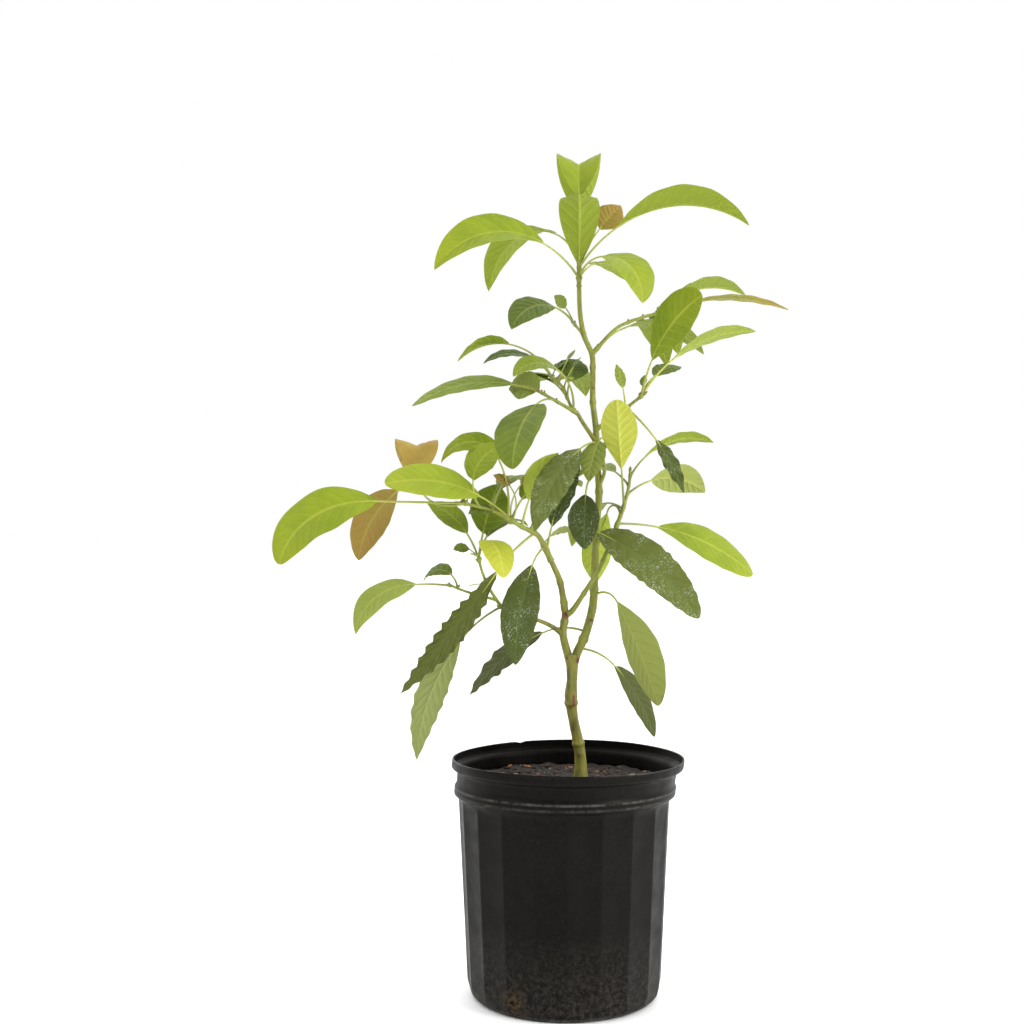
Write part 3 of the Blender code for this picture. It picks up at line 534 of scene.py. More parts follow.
def vein_rows(pairs, edge):
    """Rows across a blade: each side vein has one on its ridge and one at each edge, and each
    gap between veins has two. Returns their places, and how much of a vein each row is."""
    ridge = 0.05 + 0.9 * (np.arange(pairs) + 0.3) / pairs
    gap = 0.9 / pairs
    ends = np.array([0.0, 0.02, 0.985, 1.0])
    rows = np.concatenate([ridge - edge, ridge, ridge + edge, ridge + 0.36 * gap,
                           ridge + 0.68 * gap, ends])
    share = np.concatenate([np.zeros(pairs), np.ones(pairs), np.zeros(3 * pairs), np.zeros(4)])
    hump = np.concatenate([np.full(pairs, 0.2), np.zeros(pairs), np.full(pairs, 0.2),
                           np.ones(2 * pairs), np.zeros(4)])
    inside = (rows >= 0) & (rows <= 1)
    order = np.argsort(rows[inside])
    return rows[inside][order], share[inside][order], hump[inside][order]


def blade_shell(leaf, line, ahead, upper, tone, rng):
    """A leaf blade as a flat closed tube about its midrib.

    Rows follow the side veins: a row that leaves the midrib at a place r meets the edge further
    on, at r + 0.19 * 4r(1-r). Across, a point stands at a share of the half width, folded up
    about the midrib and curled with its square. The top is quilted between sunken veins, and
    the underside has the midrib and the veins raised.
    """
    small = leaf.blade < SMALL_LEAF
    pairs = 5 if small else int(6 + leaf.blade / 30)
    rows, vein, hump = vein_rows(pairs, 0.5 / leaf.blade)
    across = np.array([0.0, 0.09, 0.2, 0.34, 0.48, 0.62, 0.75, 0.86, 0.94, 1.0])
    across = np.concatenate([-across[:0:-1], across])
    out = np.abs(across)[None]
    left = (across < 0)[None]
    row = rows[:, None] + np.where(left, 0.35 * (1 - np.exp(-6 * out)) * 0.9 / pairs, 0.0)
    row = np.clip(row, 0, 1)
    place = np.clip(row + 0.76 * row * (1 - row) * out ** 1.25, 0, 1)
    base = len(line) // 2
    along = np.linspace(0, 1, len(line) - base)
    middle, forward, above = (
        np.stack([np.interp(place, along, a[base:, k]) for k in range(3)], -1)
        for a in (line, ahead, upper))
    turn = math.radians(leaf.turn)
    side = np.cross(forward, above)
    above = above * math.cos(turn) + side * math.sin(turn)
    side = np.cross(forward, above)
    half = half_width(place, leaf.width, leaf.more)
    half = half * (1 + leaf.more.get("scallop", 0.0)
                   * np.sin(math.tau * leaf.more.get("teeth", 8) * place))
    fold = math.radians(leaf.more.get("fold", LEAF_FOLD))
    wave = leaf.more.get("wave", 0.35) * np.sin(math.tau * (
        leaf.more.get("waves", 5) * place + rng.uniform() + np.where(left, 0.35, 0.0)))
    curl = rng.uniform(-0.1, 0.02)
    taper = np.sin(np.pi * place) ** 0.4
    quilt = (0.2 if small else 0.7) * hump[:, None] * np.minimum(6 * out, 1) * (1 - out ** 4)
    rise = (out * half * math.sin(fold) + curl * half * out ** 2 + quilt * taper
            + wave * out ** 2.5 * taper)
    midrib = np.clip(1 - out * half / (0.55 - 0.28 * place), 0, 1)
    side_vein = vein[:, None] * np.clip(1.05 - out, 0, 1) ** 0.4 * (out > 0.01)
    veins = np.maximum(midrib, 0.85 * side_vein)
    thick = 0.5 * BLADE_THICKNESS * (1 - 0.6 * out ** 3)
    flat = middle + side * (across[None, :, None] * half[..., None] * math.cos(fold))
    fine = 0.12 * ripple(60 * place, 9 * across[None] + 4 * place, rng.integers(1000))
    top = flat + above * (rise + thick + fine * taper + 0.15 * midrib)[..., None]
    ridge = (0.8 * (1 - 0.7 * place) * midrib + 0.22 * side_vein) * min(1.0, leaf.blade / 60)
    under = flat + above * (rise - thick + fine * taper - ridge)[..., None]
    rings = np.concatenate([top, under[:, ::-1]], axis=1)
    zero = np.zeros_like(place)
    burn = leaf.more.get("burn", 0) * np.clip((place - 0.86) / 0.1 + 3 * (out - 0.9), 0, 1)
    marks = {"vein": (veins, veins), "under": (zero, zero + 1), "along": (place, place),
             "rim": (out + zero, out + zero), "burn": (burn + zero, burn + zero)}
    both = {name: np.concatenate([a, b[:, ::-1]], axis=1) for name, (a, b) in marks.items()}
    both["tone"] = zero[:, :1] + tone
    return skin(rings, both)


def stalk_shell(leaf, line, ahead, upper, tone, ring=10, rows=22):
    """A leaf's stalk: a tapering tube, swollen at its foot, that runs on a little way under
    the blade as its midrib."""
    base = len(line) // 2
    reach = min(base + 4, len(line) - 1)
    path, forward, above = line[:reach + 1], ahead[:reach + 1], upper[:reach + 1]
    along = lengths_along(path)
    at = np.linspace(0, along[-1], rows)
    path, forward, above = (np.stack([np.interp(at, along, a[:, k]) for k in range(3)], -1)
                            for a in (path, forward, above))
    thin = min(1.0, 0.6 + leaf.blade / 120.0)
    radius = np.interp(at, [0, leaf.stalk, along[-1]], [STALK_RADIUS, STALK_TIP_RADIUS, 0.45])
    radius = thin * radius * (1 + 0.55 * np.exp(-(at / 2.5) ** 2))
    side = np.cross(forward, unit(above))
    around = np.linspace(0, math.tau, ring, endpoint=False)
    groove = 1 - 0.12 * np.exp(-((around - math.pi / 2) / 0.5) ** 2)
    out = circle(-side, above, ring)
    rings = path[:, None] + out * (radius[:, None] * groove[None])[..., None]
    marks = {"along": (at / along[-1])[:, None], "tone": tone}
    return skin(rings, marks)


def bud_shell(foot, towards, length, radius, tone, ring=8, rows=7):
    """A pointed bud: rings whose radius swells and then narrows to a tip, as the sine of a
    share of a half turn."""
    towards = unit(np.asarray(towards, float))
    share = np.linspace(0.02, 0.99, rows)
    line = np.asarray(foot) + towards * (share * length)[:, None]
    radii = radius * np.sin(np.pi * share ** 0.7) ** 0.8
    side = unit(np.cross(towards, np.array([0.3, 0.9, 0.2])))
    other = np.cross(towards, side)
    rings = line[:, None] + circle(side, other, ring)[None] * radii[:, None, None]
    return skin(rings, {"along": share[:, None], "tone": tone})


def far_leaves(shoot):
    """Leaves that head away from the viewer, at golden-angle turns narrowed to the far side."""
    made = []
    count, length, seed = FAR_LEAVES.get(shoot, (0, 0, 0))
    rng = random.Random(seed)
    kind = "young" if shoot in ("top", "high_right") else "mid"
    for number in range(count):
        spin = (number * GOLDEN_ANGLE + rng.uniform(-12, 12)) % FAR_SPREAD
        place = 0.3 + 0.6 * (number + rng.random()) / count
        size = length * rng.uniform(0.9, 1.12)
        made.append(Leaf(kind, place, 90 - 0.5 * FAR_SPREAD + spin, rng.uniform(20, 70),
                         rng.uniform(70, 105), 0.36 * size, size, 0.38 * size,
                         rng.uniform(-15, 15)))
    return made


def material(name, roughness):
    """A new material, its node tree and its Principled shader."""
    made = bpy.data.materials.new(name)
    made.use_nodes = True
    shader = made.node_tree.nodes["Principled BSDF"]
    shader.inputs["Roughness"].default_value = roughness
    return made, made.node_tree, shader


def node(tree, kind, output=0, **inputs):
    """Add a node and set or link its inputs by name. Returns one of its outputs."""
    made = tree.nodes.new("ShaderNode" + kind)
    for name, value in inputs.items():
        socket = made.inputs[name.replace("_", " ")]
        if isinstance(value, bpy.types.NodeSocket):
            tree.links.new(value, socket)
        else:
            socket.default_value = value
    return made.outputs[output]


def mark(tree, name):
    """The value of one of the mesh's own marks."""
    made = tree.nodes.new("ShaderNodeAttribute")
    made.attribute_name = name
    return made.outputs["Fac"]


def place_in(tree, scale=(1.0, 1.0, 1.0)):
    """The point's own place on the object, stretched by a scale."""
    coords = tree.nodes.new("ShaderNodeTexCoord").outputs["Object"]
    return node(tree, "Mapping", Vector=coords, Scale=scale)


def noise(tree, where, scale, detail=3.0, roughness=0.55):
    """Smooth noise from 0 to 1 with so many features to a metre."""
    return node(tree, "TexNoise", Vector=where, Scale=scale, Detail=detail, Roughness=roughness)


def between(tree, value, low, high, bottom=0.0, top=1.0):
    """A value spread from low..high to bottom..top, held at both ends."""
    return node(tree, "MapRange", Value=value, From_Min=low, From_Max=high, To_Min=bottom,
                To_Max=top)


def mottle(tree, where, scale, low, high, bottom=0.0, top=1.0, detail=3.0, roughness=0.55):
    """Noise spread from low..high to bottom..top: patches, streaks or grains, by its scale."""
    return between(tree, noise(tree, where, scale, detail, roughness), low, high, bottom, top)


def times(tree, a, b):
    """The product of two values."""
    made = tree.nodes.new("ShaderNodeMath")
    made.operation = "MULTIPLY"
    for socket, value in zip(made.inputs, (a, b)):
        if isinstance(value, bpy.types.NodeSocket):
            tree.links.new(value, socket)
        else:
            socket.default_value = value
    return made.outputs[0]


def blend(tree, share, first, second, how="MIX"):
    """Mix two colours by a share."""
    made = tree.nodes.new("ShaderNodeMixRGB")
    made.blend_type = how
    for socket, value in zip(made.inputs, (share, first, second)):
        if isinstance(value, bpy.types.NodeSocket):
            tree.links.new(value, socket)
        else:
            socket.default_value = value
    return made.outputs[0]


def bump(tree, shader, height, strength, depth):
    """Raise the surface by a height pattern of a depth in metres."""
    normal = node(tree, "Bump", Height=height, Strength=strength, Distance=depth)
    tree.links.new(normal, shader.inputs["Normal"])


def leaf_paint(kind):
    """Leaf tissue: two blade tones in soft patches, a paler underside, light veins with a fine
    net between them, pale water spots on old leaves, and some light shining through."""
    look = Look(*(tint(*value) if isinstance(value, tuple) else value
                  for value in LOOKS[kind]))
    made, tree, shader = material(f"leaf_{kind}", look.roughness)
    where = place_in(tree)
    patches = mottle(tree, where, 38.0, 0.38, 0.64)
    color = blend(tree, patches, look.blade, look.other)
    outer = between(tree, mark(tree, "along"), 0.45, 1.0)
    color = blend(tree, times(tree, outer, 0.7), color, look.tip)
    color = blend(tree, mark(tree, "under"), color, look.under)
    bright = between(tree, mark(tree, "tone"), -1.0, 1.0, 0.0, 1.0)
    color = blend(tree, times(tree, bright, 0.22), color, tint(206, 214, 96))
    shade = between(tree, mark(tree, "tone"), 1.0, -1.0, 0.0, 0.3)
    color = blend(tree, shade, color, look.other, "MULTIPLY")
    net = tree.nodes.new("ShaderNodeTexVoronoi")
    net.feature = "DISTANCE_TO_EDGE"
    net.inputs["Scale"].default_value = 420.0
    tree.links.new(where, net.inputs["Vector"])
    lines = between(tree, net.outputs["Distance"], 0.0, 0.12, 1.0, 0.0)
    color = blend(tree, times(tree, lines, 0.16), color, look.vein)
    if look.spots:
        specks = mottle(tree, where, 620.0, 0.54, 0.66, detail=2.0)
        clouds = mottle(tree, where, 46.0, 0.4, 0.62)
        facing = between(tree, mark(tree, "under"), 0.0, 1.0, look.spots, 0.0)
        share = times(tree, times(tree, specks, clouds), facing)
        color = blend(tree, share, color, tint(166, 180, 156))
    color = blend(tree, times(tree, mark(tree, "vein"), 0.66), color, look.vein)
    rim = between(tree, mark(tree, "rim"), 0.965, 1.0, 0.0, 0.3)
    color = blend(tree, rim, color, look.vein)
    burn = times(tree, mark(tree, "burn"), mottle(tree, where, 160.0, 0.35, 0.6))
    color = blend(tree, burn, color, tint(132, 92, 44))
    tree.links.new(color, shader.inputs["Base Color"])
    shader.inputs["Specular IOR Level"].default_value = 0.2
    bump(tree, shader, net.outputs["Distance"], 0.35, 0.0005)
    glow = tree.nodes.new("ShaderNodeBsdfTranslucent")
    tree.links.new(blend(tree, 0.35, color, tint(214, 226, 90)), glow.inputs["Color"])
    both = tree.nodes.new("ShaderNodeMixShader")
    both.inputs["Fac"].default_value = look.glow
    tree.links.new(shader.outputs[0], both.inputs[1])
    tree.links.new(glow.outputs[0], both.inputs[2])
    tree.links.new(both.outputs[0], tree.nodes["Material Output"].inputs["Surface"])
    return made


def stalk_paint(name, base, tip):
    """Green stalk tissue that turns from one colour at its foot to another at the blade."""
    made, tree, shader = material(name, 0.4)
    where = place_in(tree, (1.0, 1.0, 0.4))
    color = blend(tree, mark(tree, "along"), base, tip)
    streaks = mottle(tree, where, 500.0, 0.4, 0.7, 0.0, 0.3)
    color = blend(tree, streaks, color, tint(116, 128, 48))
    shade = between(tree, mark(tree, "tone"), -1.0, 1.0, 0.25, 0.0)
    color = blend(tree, shade, color, tint(96, 104, 40))
    tree.links.new(color, shader.inputs["Base Color"])
    return made


def bark_paint():
    """Smooth green bark with brown streaks and small pale pores, browner with age, painted shade
    in the hollows between its ridges, and rough red-brown wood in the wounds."""
    made, tree, shader = material("avocado_bark", 0.55)
    where = place_in(tree)
    tall = place_in(tree, (1.0, 1.0, 0.3))
    age = mark(tree, "age")
    color = blend(tree, age, tint(140, 154, 52), tint(140, 136, 46))
    streaks = mottle(tree, tall, 180.0, 0.42, 0.66, detail=4.0)
    color = blend(tree, times(tree, streaks, between(tree, age, 0.0, 1.0, 0.3, 0.75)), color,
                  tint(58, 50, 28))
    patches = mottle(tree, where, 55.0, 0.42, 0.62)
    color = blend(tree, times(tree, patches, 0.55), color, tint(140, 138, 44))
    pores = node(tree, "TexVoronoi", Vector=tall, Scale=260.0)
    dots = between(tree, pores, 0.0, 0.2, 1.0, 0.0)
    color = blend(tree, times(tree, dots, 0.7), color, tint(122, 98, 58))
    # painted shade: the bark is darkened where its ridges dip, in the hollows between them
    hollow_shade = between(tree, mark(tree, "tone"), -0.4, 0.2, 0.3, 0.0)
    color = blend(tree, hollow_shade, color, tint(66, 62, 34))
    wound = between(tree, mark(tree, "scar"), 0.3, 0.7)
    bare = blend(tree, mottle(tree, where, 420.0, 0.4, 0.6), tint(142, 84, 52),
                 tint(62, 38, 26))
    color = blend(tree, wound, color, bare)
    tree.links.new(color, shader.inputs["Base Color"])
    rough = noise(tree, tall, 420.0, 5.0, 0.65)
    bump(tree, shader, rough, 0.7, 0.0009)
    return made


def bud_paint():
    """Small buds, green at the foot and red-brown at the tip."""
    made, tree, shader = material("bud", 0.5)
    color = blend(tree, between(tree, mark(tree, "along"), 0.2, 0.9), tint(126, 136, 62),
                  tint(120, 76, 48))
    tree.links.new(color, shader.inputs["Base Color"])
    return made


def pot_paint():
    """Black blown plastic with a dull sheen: scuffed edges, pale dust that thickens towards the
    foot, fine specks, and water stains round the drain holes."""
    made, tree, shader = material("pot_black_plastic", 0.4)
    shader.inputs["Specular IOR Level"].default_value = 0.1
    shader.inputs["Specular Tint"].default_value = tint(255, 244, 230)
    where = place_in(tree)
    height = node(tree, "SeparateXYZ", output=2, Vector=where)
    color = blend(tree, mottle(tree, where, 26.0, 0.35, 0.7, detail=5.0), tint(6, 6, 6),
                  tint(12, 11, 10))
    low = between(tree, height, 0.012, 0.085, 1.0, 0.0)
    film = times(tree, mottle(tree, where, 240.0, 0.42, 0.74, detail=6.0, roughness=0.75), 0.5)
    color = blend(tree, times(tree, film, between(tree, low, 0.0, 1.0, 0.05, 0.6)), color,
                  tint(108, 103, 95))
    grains = mottle(tree, where, 900.0, 0.68, 0.76, detail=2.0)
    share = times(tree, grains, between(tree, low, 0.0, 1.0, 0.12, 0.45))
    color = blend(tree, share, color, tint(150, 147, 138))
    worn = mottle(tree, where, 60.0, 0.4, 0.7, detail=7.0, roughness=0.8)
    scuffs = times(tree, mark(tree, "scuff"), worn)
    color = blend(tree, times(tree, scuffs, 0.6), color, tint(128, 126, 120))
    stain = times(tree, mark(tree, "stain"), mottle(tree, where, 240.0, 0.38, 0.62))
    color = blend(tree, times(tree, stain, 0.65), color, tint(96, 72, 44))
    tree.links.new(color, shader.inputs["Base Color"])
    dull = mottle(tree, where, 60.0, 0.3, 0.7, 0.4, 0.56, detail=5.0)
    tree.links.new(dull, shader.inputs["Roughness"])
    bump(tree, shader, noise(tree, where, 700.0, 4.0, 0.6), 0.14, 0.0004)
    return made


def mix_paint():
    """Dark moist potting mix with brown fibres."""
    made, tree, shader = material("potting_mix_surface", 0.95)
    where = place_in(tree)
    color = blend(tree, mottle(tree, where, 260.0, 0.38, 0.66, detail=6.0, roughness=0.7),
                  tint(13, 10, 8), tint(34, 25, 18))
    bits = mottle(tree, where, 520.0, 0.62, 0.72, detail=3.0)
    color = blend(tree, bits, color, tint(84, 56, 34))
    tree.links.new(color, shader.inputs["Base Color"])
    bump(tree, shader, noise(tree, where, 420.0, 6.0, 0.7), 0.8, 0.0015)
    return made


def crumb_paint(name, dark, pale, roughness):
    """Crumbs of one kind, each its own tone between a dark and a pale colour."""
    made, tree, shader = material(name, roughness)
    where = place_in(tree)
    color = blend(tree, mark(tree, "tone"), dark, pale)
    fibres = mottle(tree, where, 480.0, 0.35, 0.7, 0.0, 0.5, detail=4.0, roughness=0.7)
    color = blend(tree, fibres, color, dark)
    tree.links.new(color, shader.inputs["Base Color"])
    bump(tree, shader, noise(tree, where, 900.0, 4.0, 0.6), 0.5, 0.0005)
    return made


def rounded(profile, step, passes):
    """A profile cut into even steps, its corners rounded by averaging neighbours."""
    p = np.array(profile, float)
    along = np.concatenate([[0.0], np.cumsum(np.linalg.norm(np.diff(p, axis=0), axis=1))])
    at = np.linspace(0, along[-1], int(along[-1] / step) + 1)
    p = np.stack([np.interp(at, along, p[:, 0]), np.interp(at, along, p[:, 1])], 1)
    for _ in range(passes):
        p[1:-1] = 0.25 * p[:-2] + 0.5 * p[1:-1] + 0.25 * p[2:]
    return p


def pot_outline():
    """The pot's wall as (radius, height): from the middle of its underside up its outside to
    the lip, and down its inside, one wall away, to the middle of its floor."""
    lip_foot = POT_HEIGHT - LIP_DEPTH
    bead_foot = BEAD_TOP - BEAD_DEPTH
    outside = [
        (0.3, 0.0), (FOOT_RADIUS, 0.0), (BODY_FOOT_RADIUS - 3.0, 0.3 * FOOT_HEIGHT),
        (BODY_FOOT_RADIUS, FOOT_HEIGHT), (BODY_TOP_RADIUS - 0.4, bead_foot - 8.0),
        (BODY_TOP_RADIUS, bead_foot - 1.5), (BEAD_RADIUS - 0.6, bead_foot + 0.8),
        (BEAD_RADIUS + 0.4, bead_foot + 2.0), (BEAD_RADIUS - 0.4, bead_foot + 3.4),
        (BEAD_RADIUS - 0.4, BEAD_TOP - 3.0), (BEAD_RADIUS + 0.6, BEAD_TOP - 1.4),
        (COLLAR_RADIUS - 0.3, BEAD_TOP + 1.4), (COLLAR_RADIUS + 0.8, lip_foot - 2.0),
        (LIP_RADIUS - 1.6, lip_foot), (LIP_RADIUS - 0.4, lip_foot + 1.6),
        (LIP_RADIUS - 0.9, lip_foot + 4.5), (LIP_RADIUS, POT_HEIGHT - 1.2),
        (LIP_RADIUS - 0.6, POT_HEIGHT - 0.1)]
    fine = rounded(outside, PROFILE_STEP, 1)
    run = unit(np.gradient(fine, axis=0))
    inward = np.stack([-run[:, 1], run[:, 0]], 1)
    inside = (fine + WALL * inward)[::-1]
    inside[:, 0] = np.maximum(inside[:, 0], 0.3)
    return np.vstack([fine, inside])


def pot_form(radius, height, around):
    """Points of the pot's wall. The body's flutes are parabolas between ridges, deepest in
    their middles; the lip leans to one side, waves up and down, and has a nick at the back."""
    body_top = BEAD_TOP - BEAD_DEPTH - 2.0
    share = (around * FLUTES / math.tau) % 1.0
    sunk = FLUTE_DEPTH * (1 - (2 * share - 1) ** 2)
    fade = np.clip((body_top - height) / 5.0, 0, 1) * np.clip((height - 3.0) / 12.0, 0, 1)
    lean = np.clip((height - body_top) / (POT_HEIGHT - body_top), 0, 1)
    wobble = 0.8 * np.sin(3 * around + 0.6) + 0.5 * np.sin(7 * around)
    r = radius - sunk * fade * (radius > 40) + wobble * lean ** 2 * 0.6 - 0.8 * lean ** 2
    x = r * np.cos(around) + LIP_SHIFT * lean
    y = r * np.sin(around)
    nick = np.exp(-((around - math.radians(NICK_ANGLE)) / 0.035) ** 2)
    z = height - lean ** 3 * (0.9 + 0.9 * np.sin(2 * around + 2.2) + 1.4 * nick)
    seam = sum(np.exp(-((around - math.radians(angle)) / 0.008) ** 2) for angle in SEAM_ANGLES)
    swell = 1 + 0.25 * seam * (radius > 40) / np.maximum(radius, 1.0)
    return np.stack([x * swell, y * swell, z], -1)


def pot_marks(points):
    """Where the pot is scuffed, along its bead and lip, and stained, by its drain holes."""
    height = points[:, 2]
    around = np.arctan2(points[:, 1], points[:, 0])
    scuff = np.zeros(len(points))
    for level, spread in ((BEAD_TOP - 1.4, 0.6), (BEAD_TOP - 7.6, 0.6), (POT_HEIGHT - 1.2, 0.5),
                          (1.5, 2.0)):
        scuff = np.maximum(scuff, np.exp(-((height - level) / spread) ** 2))
    stain = np.zeros(len(points))
    for angle in DRAIN_ANGLES:
        away = (around - math.radians(angle - 90) + math.pi) % math.tau - math.pi
        spread = (away * BODY_FOOT_RADIUS) ** 2 + (0.8 * (height - DRAIN_HEIGHT + 2)) ** 2
        stain = np.maximum(stain, np.exp(-spread / 90.0))
    return {"scuff": scuff, "stain": stain}


def make_pot():
    """The pot: its outline turned about +Z, with three drain holes bored through the wall."""
    outline = pot_outline()
    around = np.linspace(0, math.tau, POT_TURNS, endpoint=False)
    rings = pot_form(outline[:, :1], outline[:, 1:], around[None])
    pot = as_object("nursery_pot", [skin(rings, {})], pot_paint(), ["pot"], 35.0)
    drills = []
    for angle in DRAIN_ANGLES:
        away = math.radians(angle - 90.0)
        out = np.array([math.cos(away), math.sin(away), 0.0])
        centre = out * (BODY_FOOT_RADIUS - 2) + (0, 0, DRAIN_HEIGHT)
        line = centre + out * np.linspace(-9, 9, 3)[:, None]
        up = np.array([0.0, 0.0, 1.0])
        round_it = circle(np.cross(out, up), up, DRAIN_SIDES)
        drills.append(skin(line[:, None] + DRAIN_RADIUS * round_it[None], {}))
    drill = as_object("drain_drill", drills, pot.data.materials[0])
    cut = pot.modifiers.new("drain", "BOOLEAN")
    cut.object = drill
    cut.solver = "MANIFOLD"
    bpy.context.view_layer.update()
    graph = bpy.context.evaluated_depsgraph_get()
    bored = bpy.data.meshes.new_from_object(pot.evaluated_get(graph))
    pot.modifiers.remove(cut)
    pot.data = bored
    bpy.data.objects.remove(drill, do_unlink=True)
    co = np.zeros(3 * len(bored.vertices))
    bored.vertices.foreach_get("co", co)
    for name, values in pot_marks(co.reshape(-1, 3) / MM).items():
        bored.attributes.new(name, "FLOAT", "POINT").data.foreach_set("value", values)
    return pot


def mix_height(x, y):
    """Height of the mix's surface: flat, with soft humps and a low mound at the trunk."""
    humps = (1.3 * np.sin(0.11 * x + 0.4) * np.sin(0.09 * y + 1.0)
             + 0.8 * np.sin(0.27 * x - 0.2 * y) + 0.5 * np.sin(0.53 * y + 0.31 * x + 2.0))
    apart = np.hypot(x - 17, y - 8)
    return MIX_TOP - 0.6 + humps * np.clip((apart - 10) / 25, 0, 1) + 0.9 * np.exp(-apart / 12)


def make_mix():
    """The mix: a round body with an uneven top, strewn with bark chips, perlite and scraps."""
    rng = np.random.default_rng(MIX_SEED)
    around = np.linspace(0, math.tau, 160, endpoint=False)[None]
    reach = np.linspace(1.0, MIX_RADIUS, 60)[::-1, None]
    x, y = reach * np.cos(around), reach * np.sin(around)
    top = np.stack([x, y, mix_height(x, y) + 0.5 * ripple(3 * x, 3 * y, 8)], -1)
    walls = []
    for height, radius in ((2.2, 80.0), (12.0, 89.0), (195.0, 101.0)):
        level = np.full_like(around, height)
        walls.append(np.stack([radius * np.cos(around), radius * np.sin(around), level], -1))
    rings = np.concatenate(walls + [top])
    as_object("mix_body", [skin(rings, {})], mix_paint(), ["potting_mix"])
    kinds = (
        ("bark_chips", CHIPS, (0.7, 4.2), 0.3, crumb_paint("bark_chip", tint(20, 14, 10),
                                                            tint(158, 100, 56), 0.85)),
        ("perlite_grains", PERLITE, (0.6, 1.5), 0.8, crumb_paint("perlite", tint(150, 146, 136),
                                                                 tint(226, 222, 212), 0.9)),
        ("leaf_scraps", SCRAPS, (4.0, 9.0), 0.08, crumb_paint("leaf_scrap", tint(88, 70, 40),
                                                              tint(128, 118, 66), 0.8)),
    )
    for name, count, sizes, flat, paint in kinds:
        crumbs = [crumb_shell(sizes, flat, rng) for _ in range(count)]
        as_object(name, crumbs, paint, crease=30.0)


def crumb_shell(sizes, flat, rng):
    """One crumb: three rough six-sided rings, flattened and turned a random way, half sunk in
    the mix's surface."""
    size = sizes[0] + (sizes[1] - sizes[0]) * rng.uniform() ** 2.2
    around = np.linspace(0, math.tau, 6, endpoint=False)
    level = np.array([-1.0, 0.0, 1.0])
    radius = np.array([0.62, 1.0, 0.7])[:, None] * rng.uniform(0.72, 1.2, (3, 6))
    form = np.stack([radius * np.cos(around) * rng.uniform(0.9, 1.7), radius * np.sin(around)
                     * rng.uniform(0.45, 0.9), np.broadcast_to(level[:, None] * flat, (3, 6))], -1)
    turn, tilt = rng.uniform(0, math.tau), rng.normal(0, 0.35)
    spin = np.array([[math.cos(turn), -math.sin(turn), 0], [math.sin(turn), math.cos(turn), 0],
                     [0, 0, 1]])
    lean = np.array([[1, 0, 0], [0, math.cos(tilt), -math.sin(tilt)],
                     [0, math.sin(tilt), math.cos(tilt)]])
    away, bearing = (MIX_RADIUS - 6) * math.sqrt(rng.uniform()), rng.uniform(0, math.tau)
    x, y = away * math.cos(bearing), away * math.sin(bearing)
    seat = np.array([x, y, mix_height(x, y) + size * flat * 0.35])
    rings = (form * size) @ (spin @ lean).T + seat
    return skin(rings, {"tone": float(rng.uniform() ** 7.0)})


def trunk_girth(count):
    """Radius at each point of the trunk: swollen at its foot, at the old graft and at its fork."""
    return np.interp(np.linspace(0, 1, count), *np.array(TRUNK_GIRTH).T)


def make_limbs(paint):
    """The trunk, the leader and the boughs, each with its own age and leaf joints."""
    ages = {"trunk": 1.0, "leader": 0.35, "bough_left": 0.7, "bough_low_right": 0.3,
            "bough_low_left": 0.8, "bough_upper_left": 0.6, "bough_mid_right": 0.4}
    joints = {"leader": (0.09, 0.22, 0.34, 0.47, 0.58, 0.7, 0.79, 0.88),
              "bough_left": (0.45, 0.62, 0.8), "bough_low_right": (0.3, 0.66),
              "trunk": (0.3, 0.62)}
    for seed, (name, (route, radii)) in enumerate(LIMBS.items()):
        line = smooth_line(route)
        girth = trunk_girth(len(line)) if radii is None else np.linspace(*radii, 40)
        if name in ("bough_low_right", "bough_low_left", "bough_upper_left", "bough_mid_right"):
            girth = girth * (1 + 0.5 * np.exp(-np.arange(len(girth)) / 4.0))
        ring = 40 if name == "trunk" else 28
        shell = limb_shell(line, girth, joints.get(name, ()), ages[name], seed, ring,
                           0.7 if name == "trunk" else 0.9)
        as_object(f"{name}_bark", [shell], paint, [name])


def make_foliage(paints, stalks, bark, buds):
    """Every mass: its shoots, its stalks, and its blades joined by colour."""
    rng = np.random.default_rng(LOOK_SEED)
    bud_shells = []
    for mass, shoots in MASSES.items():
        stems, stalk_shells, blades = [], [], {}
        for shoot in shoots:
            route, radii = SHOOTS[shoot]
            line = smooth_line(route)
            leaves = [Leaf(*row) for row in LEAVES[shoot]] + far_leaves(shoot)
            joints = [leaf.place for leaf in leaves]
            girth = np.linspace(*radii, 30) * (1 + 0.35 * np.exp(-np.arange(30) / 3.0))
            stems.append(limb_shell(line, girth, joints, 0.1, len(stems) + 20, 20, 0.8))
            tip = unit(line[-1] - line[-2])
            bud_shells.append(bud_shell(line[-1] - tip, tip, 6.5, 1.7, 0.0))
            for leaf in leaves:
                grow_leaf(leaf, line, stalk_shells, blades, bud_shells, rng)
        name = mass.replace("foliage_", "")
        as_object(f"{name}_shoots", stems, bark, [mass])
        young = mass in YOUNG_MASSES
        as_object(f"{name}_stalks", stalk_shells, stalks[0 if young else 1], [mass])
        for kind, shells in blades.items():
            as_object(f"{name}_{kind}_leaves", shells, paints[kind], [mass])
    leader = smooth_line(LIMBS["leader"][0][1:])
    for name, row in LONE_LEAVES.items():
        stalk_shells, blades = [], {}
        grow_leaf(Leaf(*row), leader, stalk_shells, blades, bud_shells, rng)
        as_object(f"{name}_stalk", stalk_shells, stalks[0], [name])
        for kind, shells in blades.items():
            as_object(f"{name}_blade", shells, paints[kind], [name])
    as_object("buds", bud_shells, buds)


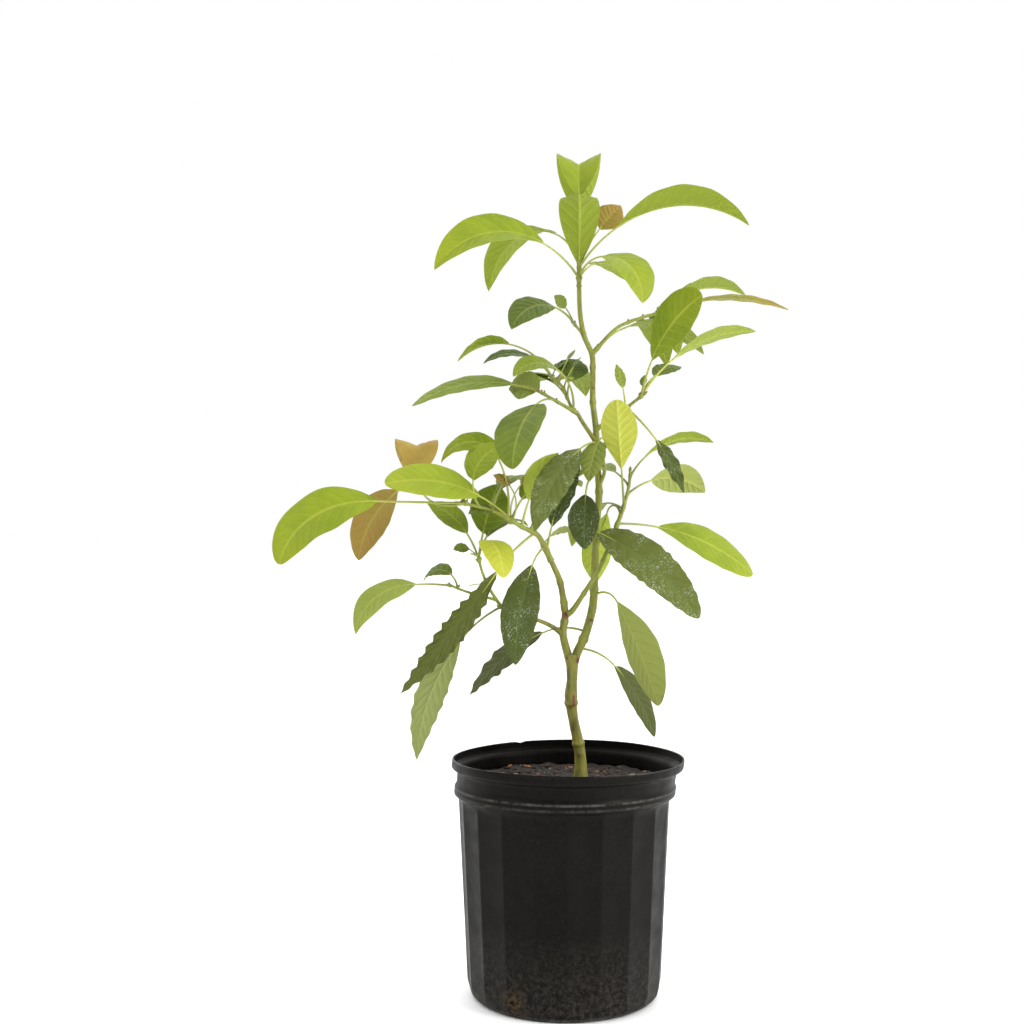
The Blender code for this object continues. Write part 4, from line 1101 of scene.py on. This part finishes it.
def grow_leaf(leaf, carrier, stalk_shells, blades, bud_shells, rng):
    """Add one leaf's stalk, blade and bud, the stalk's foot on the line that carries it."""
    start = sample(carrier, [leaf.place])[0]
    line, ahead, upper = leaf_line(start, leaf)
    tone = rng.uniform(-1, 1)
    stalk_shells.append(stalk_shell(leaf, line, ahead, upper, tone))
    blades.setdefault(leaf.kind, []).append(blade_shell(leaf, line, ahead, upper, tone, rng))
    if leaf.blade > SMALL_LEAF:
        foot = start + 1.2 * ahead[0] + 0.8 * upper[0]
        bud_shells.append(bud_shell(foot, ahead[0] + upper[0], 3.4, 1.1, tone))


def make_floor():
    """A plain pale floor."""
    mesh = bpy.data.meshes.new("floor")
    corners = [(-1, -1), (1, -1), (1, 1), (-1, 1)]
    points = [(FLOOR_REACH * x, FLOOR_REACH * y, 0) for x, y in corners]
    mesh.from_pydata(points, [], [(0, 1, 2, 3)])
    made, tree, shader = material("floor_white", 0.6)
    where = place_in(tree)
    color = blend(tree, noise(tree, where, 3.0), tint(250, 250, 250), tint(253, 253, 253))
    tree.links.new(color, shader.inputs["Base Color"])
    mesh.materials.append(made)
    floor = bpy.data.objects.new("floor", mesh)
    bpy.context.scene.collection.objects.link(floor)


def add_light(name, place, target, size, power):
    """A square soft light at a place, turned to a target."""
    light = bpy.data.lights.new(name, "AREA")
    light.size = size
    light.energy = power
    made = bpy.data.objects.new(name, light)
    made.location = place
    away = np.array(place) - np.array(target)
    flat = math.hypot(away[0], away[1])
    made.rotation_euler = (math.atan2(flat, away[2]), 0.0, math.atan2(away[0], -away[1]))
    bpy.context.scene.collection.objects.link(made)


def make_studio():
    """Surroundings that light the plant from behind and above more than from the front, and look
    plain white to the camera from every side; two softboxes; and the camera."""
    scene = bpy.context.scene
    world = bpy.data.worlds.new("studio")
    world.use_nodes = True
    tree = world.node_tree
    towards = tree.nodes.new("ShaderNodeTexCoord").outputs["Generated"]
    backdrop = between(tree, node(tree, "SeparateXYZ", output=1, Vector=towards), 0.0, 0.4,
                       ROOM_LIGHT, BACKDROP_LIGHT)
    ceiling = between(tree, node(tree, "SeparateXYZ", output=2, Vector=towards), 0.45, 0.85,
                      0.0, CEILING_LIGHT)
    both = tree.nodes.new("ShaderNodeMath")
    tree.links.new(backdrop, both.inputs[0])
    tree.links.new(ceiling, both.inputs[1])
    seen = tree.nodes.new("ShaderNodeLightPath").outputs["Is Camera Ray"]
    strength = node(tree, "Mix", Factor=seen, A=both.outputs[0], B=1.0)
    tree.links.new(strength, tree.nodes["Background"].inputs["Strength"])
    tree.nodes["Background"].inputs["Color"].default_value = (1.0, 1.0, 1.0, 1.0)
    scene.world = world
    scene.view_settings.view_transform = "Standard"
    for name, (place, power) in SOFTBOXES.items():
        add_light(name, place, LIT_PLACE, SOFTBOX_SIZE, power)
    camera = bpy.data.cameras.new("camera")
    camera.lens = LENS
    camera.sensor_width = 36.0
    camera.shift_y = HORIZON_SHIFT
    holder = bpy.data.objects.new("camera", camera)
    holder.location = EYE
    holder.rotation_euler = (math.pi / 2, 0.0, 0.0)
    scene.collection.objects.link(holder)
    scene.camera = holder


def main():
    """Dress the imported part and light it."""
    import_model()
    bpy.context.scene.frame_set(1)
    make_studio()
    make_floor()
    bark = bark_paint()
    make_pot()
    make_mix()
    make_limbs(bark)
    paints = {kind: leaf_paint(kind) for kind in LOOKS}
    stalks = (stalk_paint("stalk_young", tint(150, 158, 62), tint(196, 198, 84)),
              stalk_paint("stalk_mature", tint(122, 130, 54), tint(172, 176, 74)))
    make_foliage(paints, stalks, bark, bud_paint())


main()
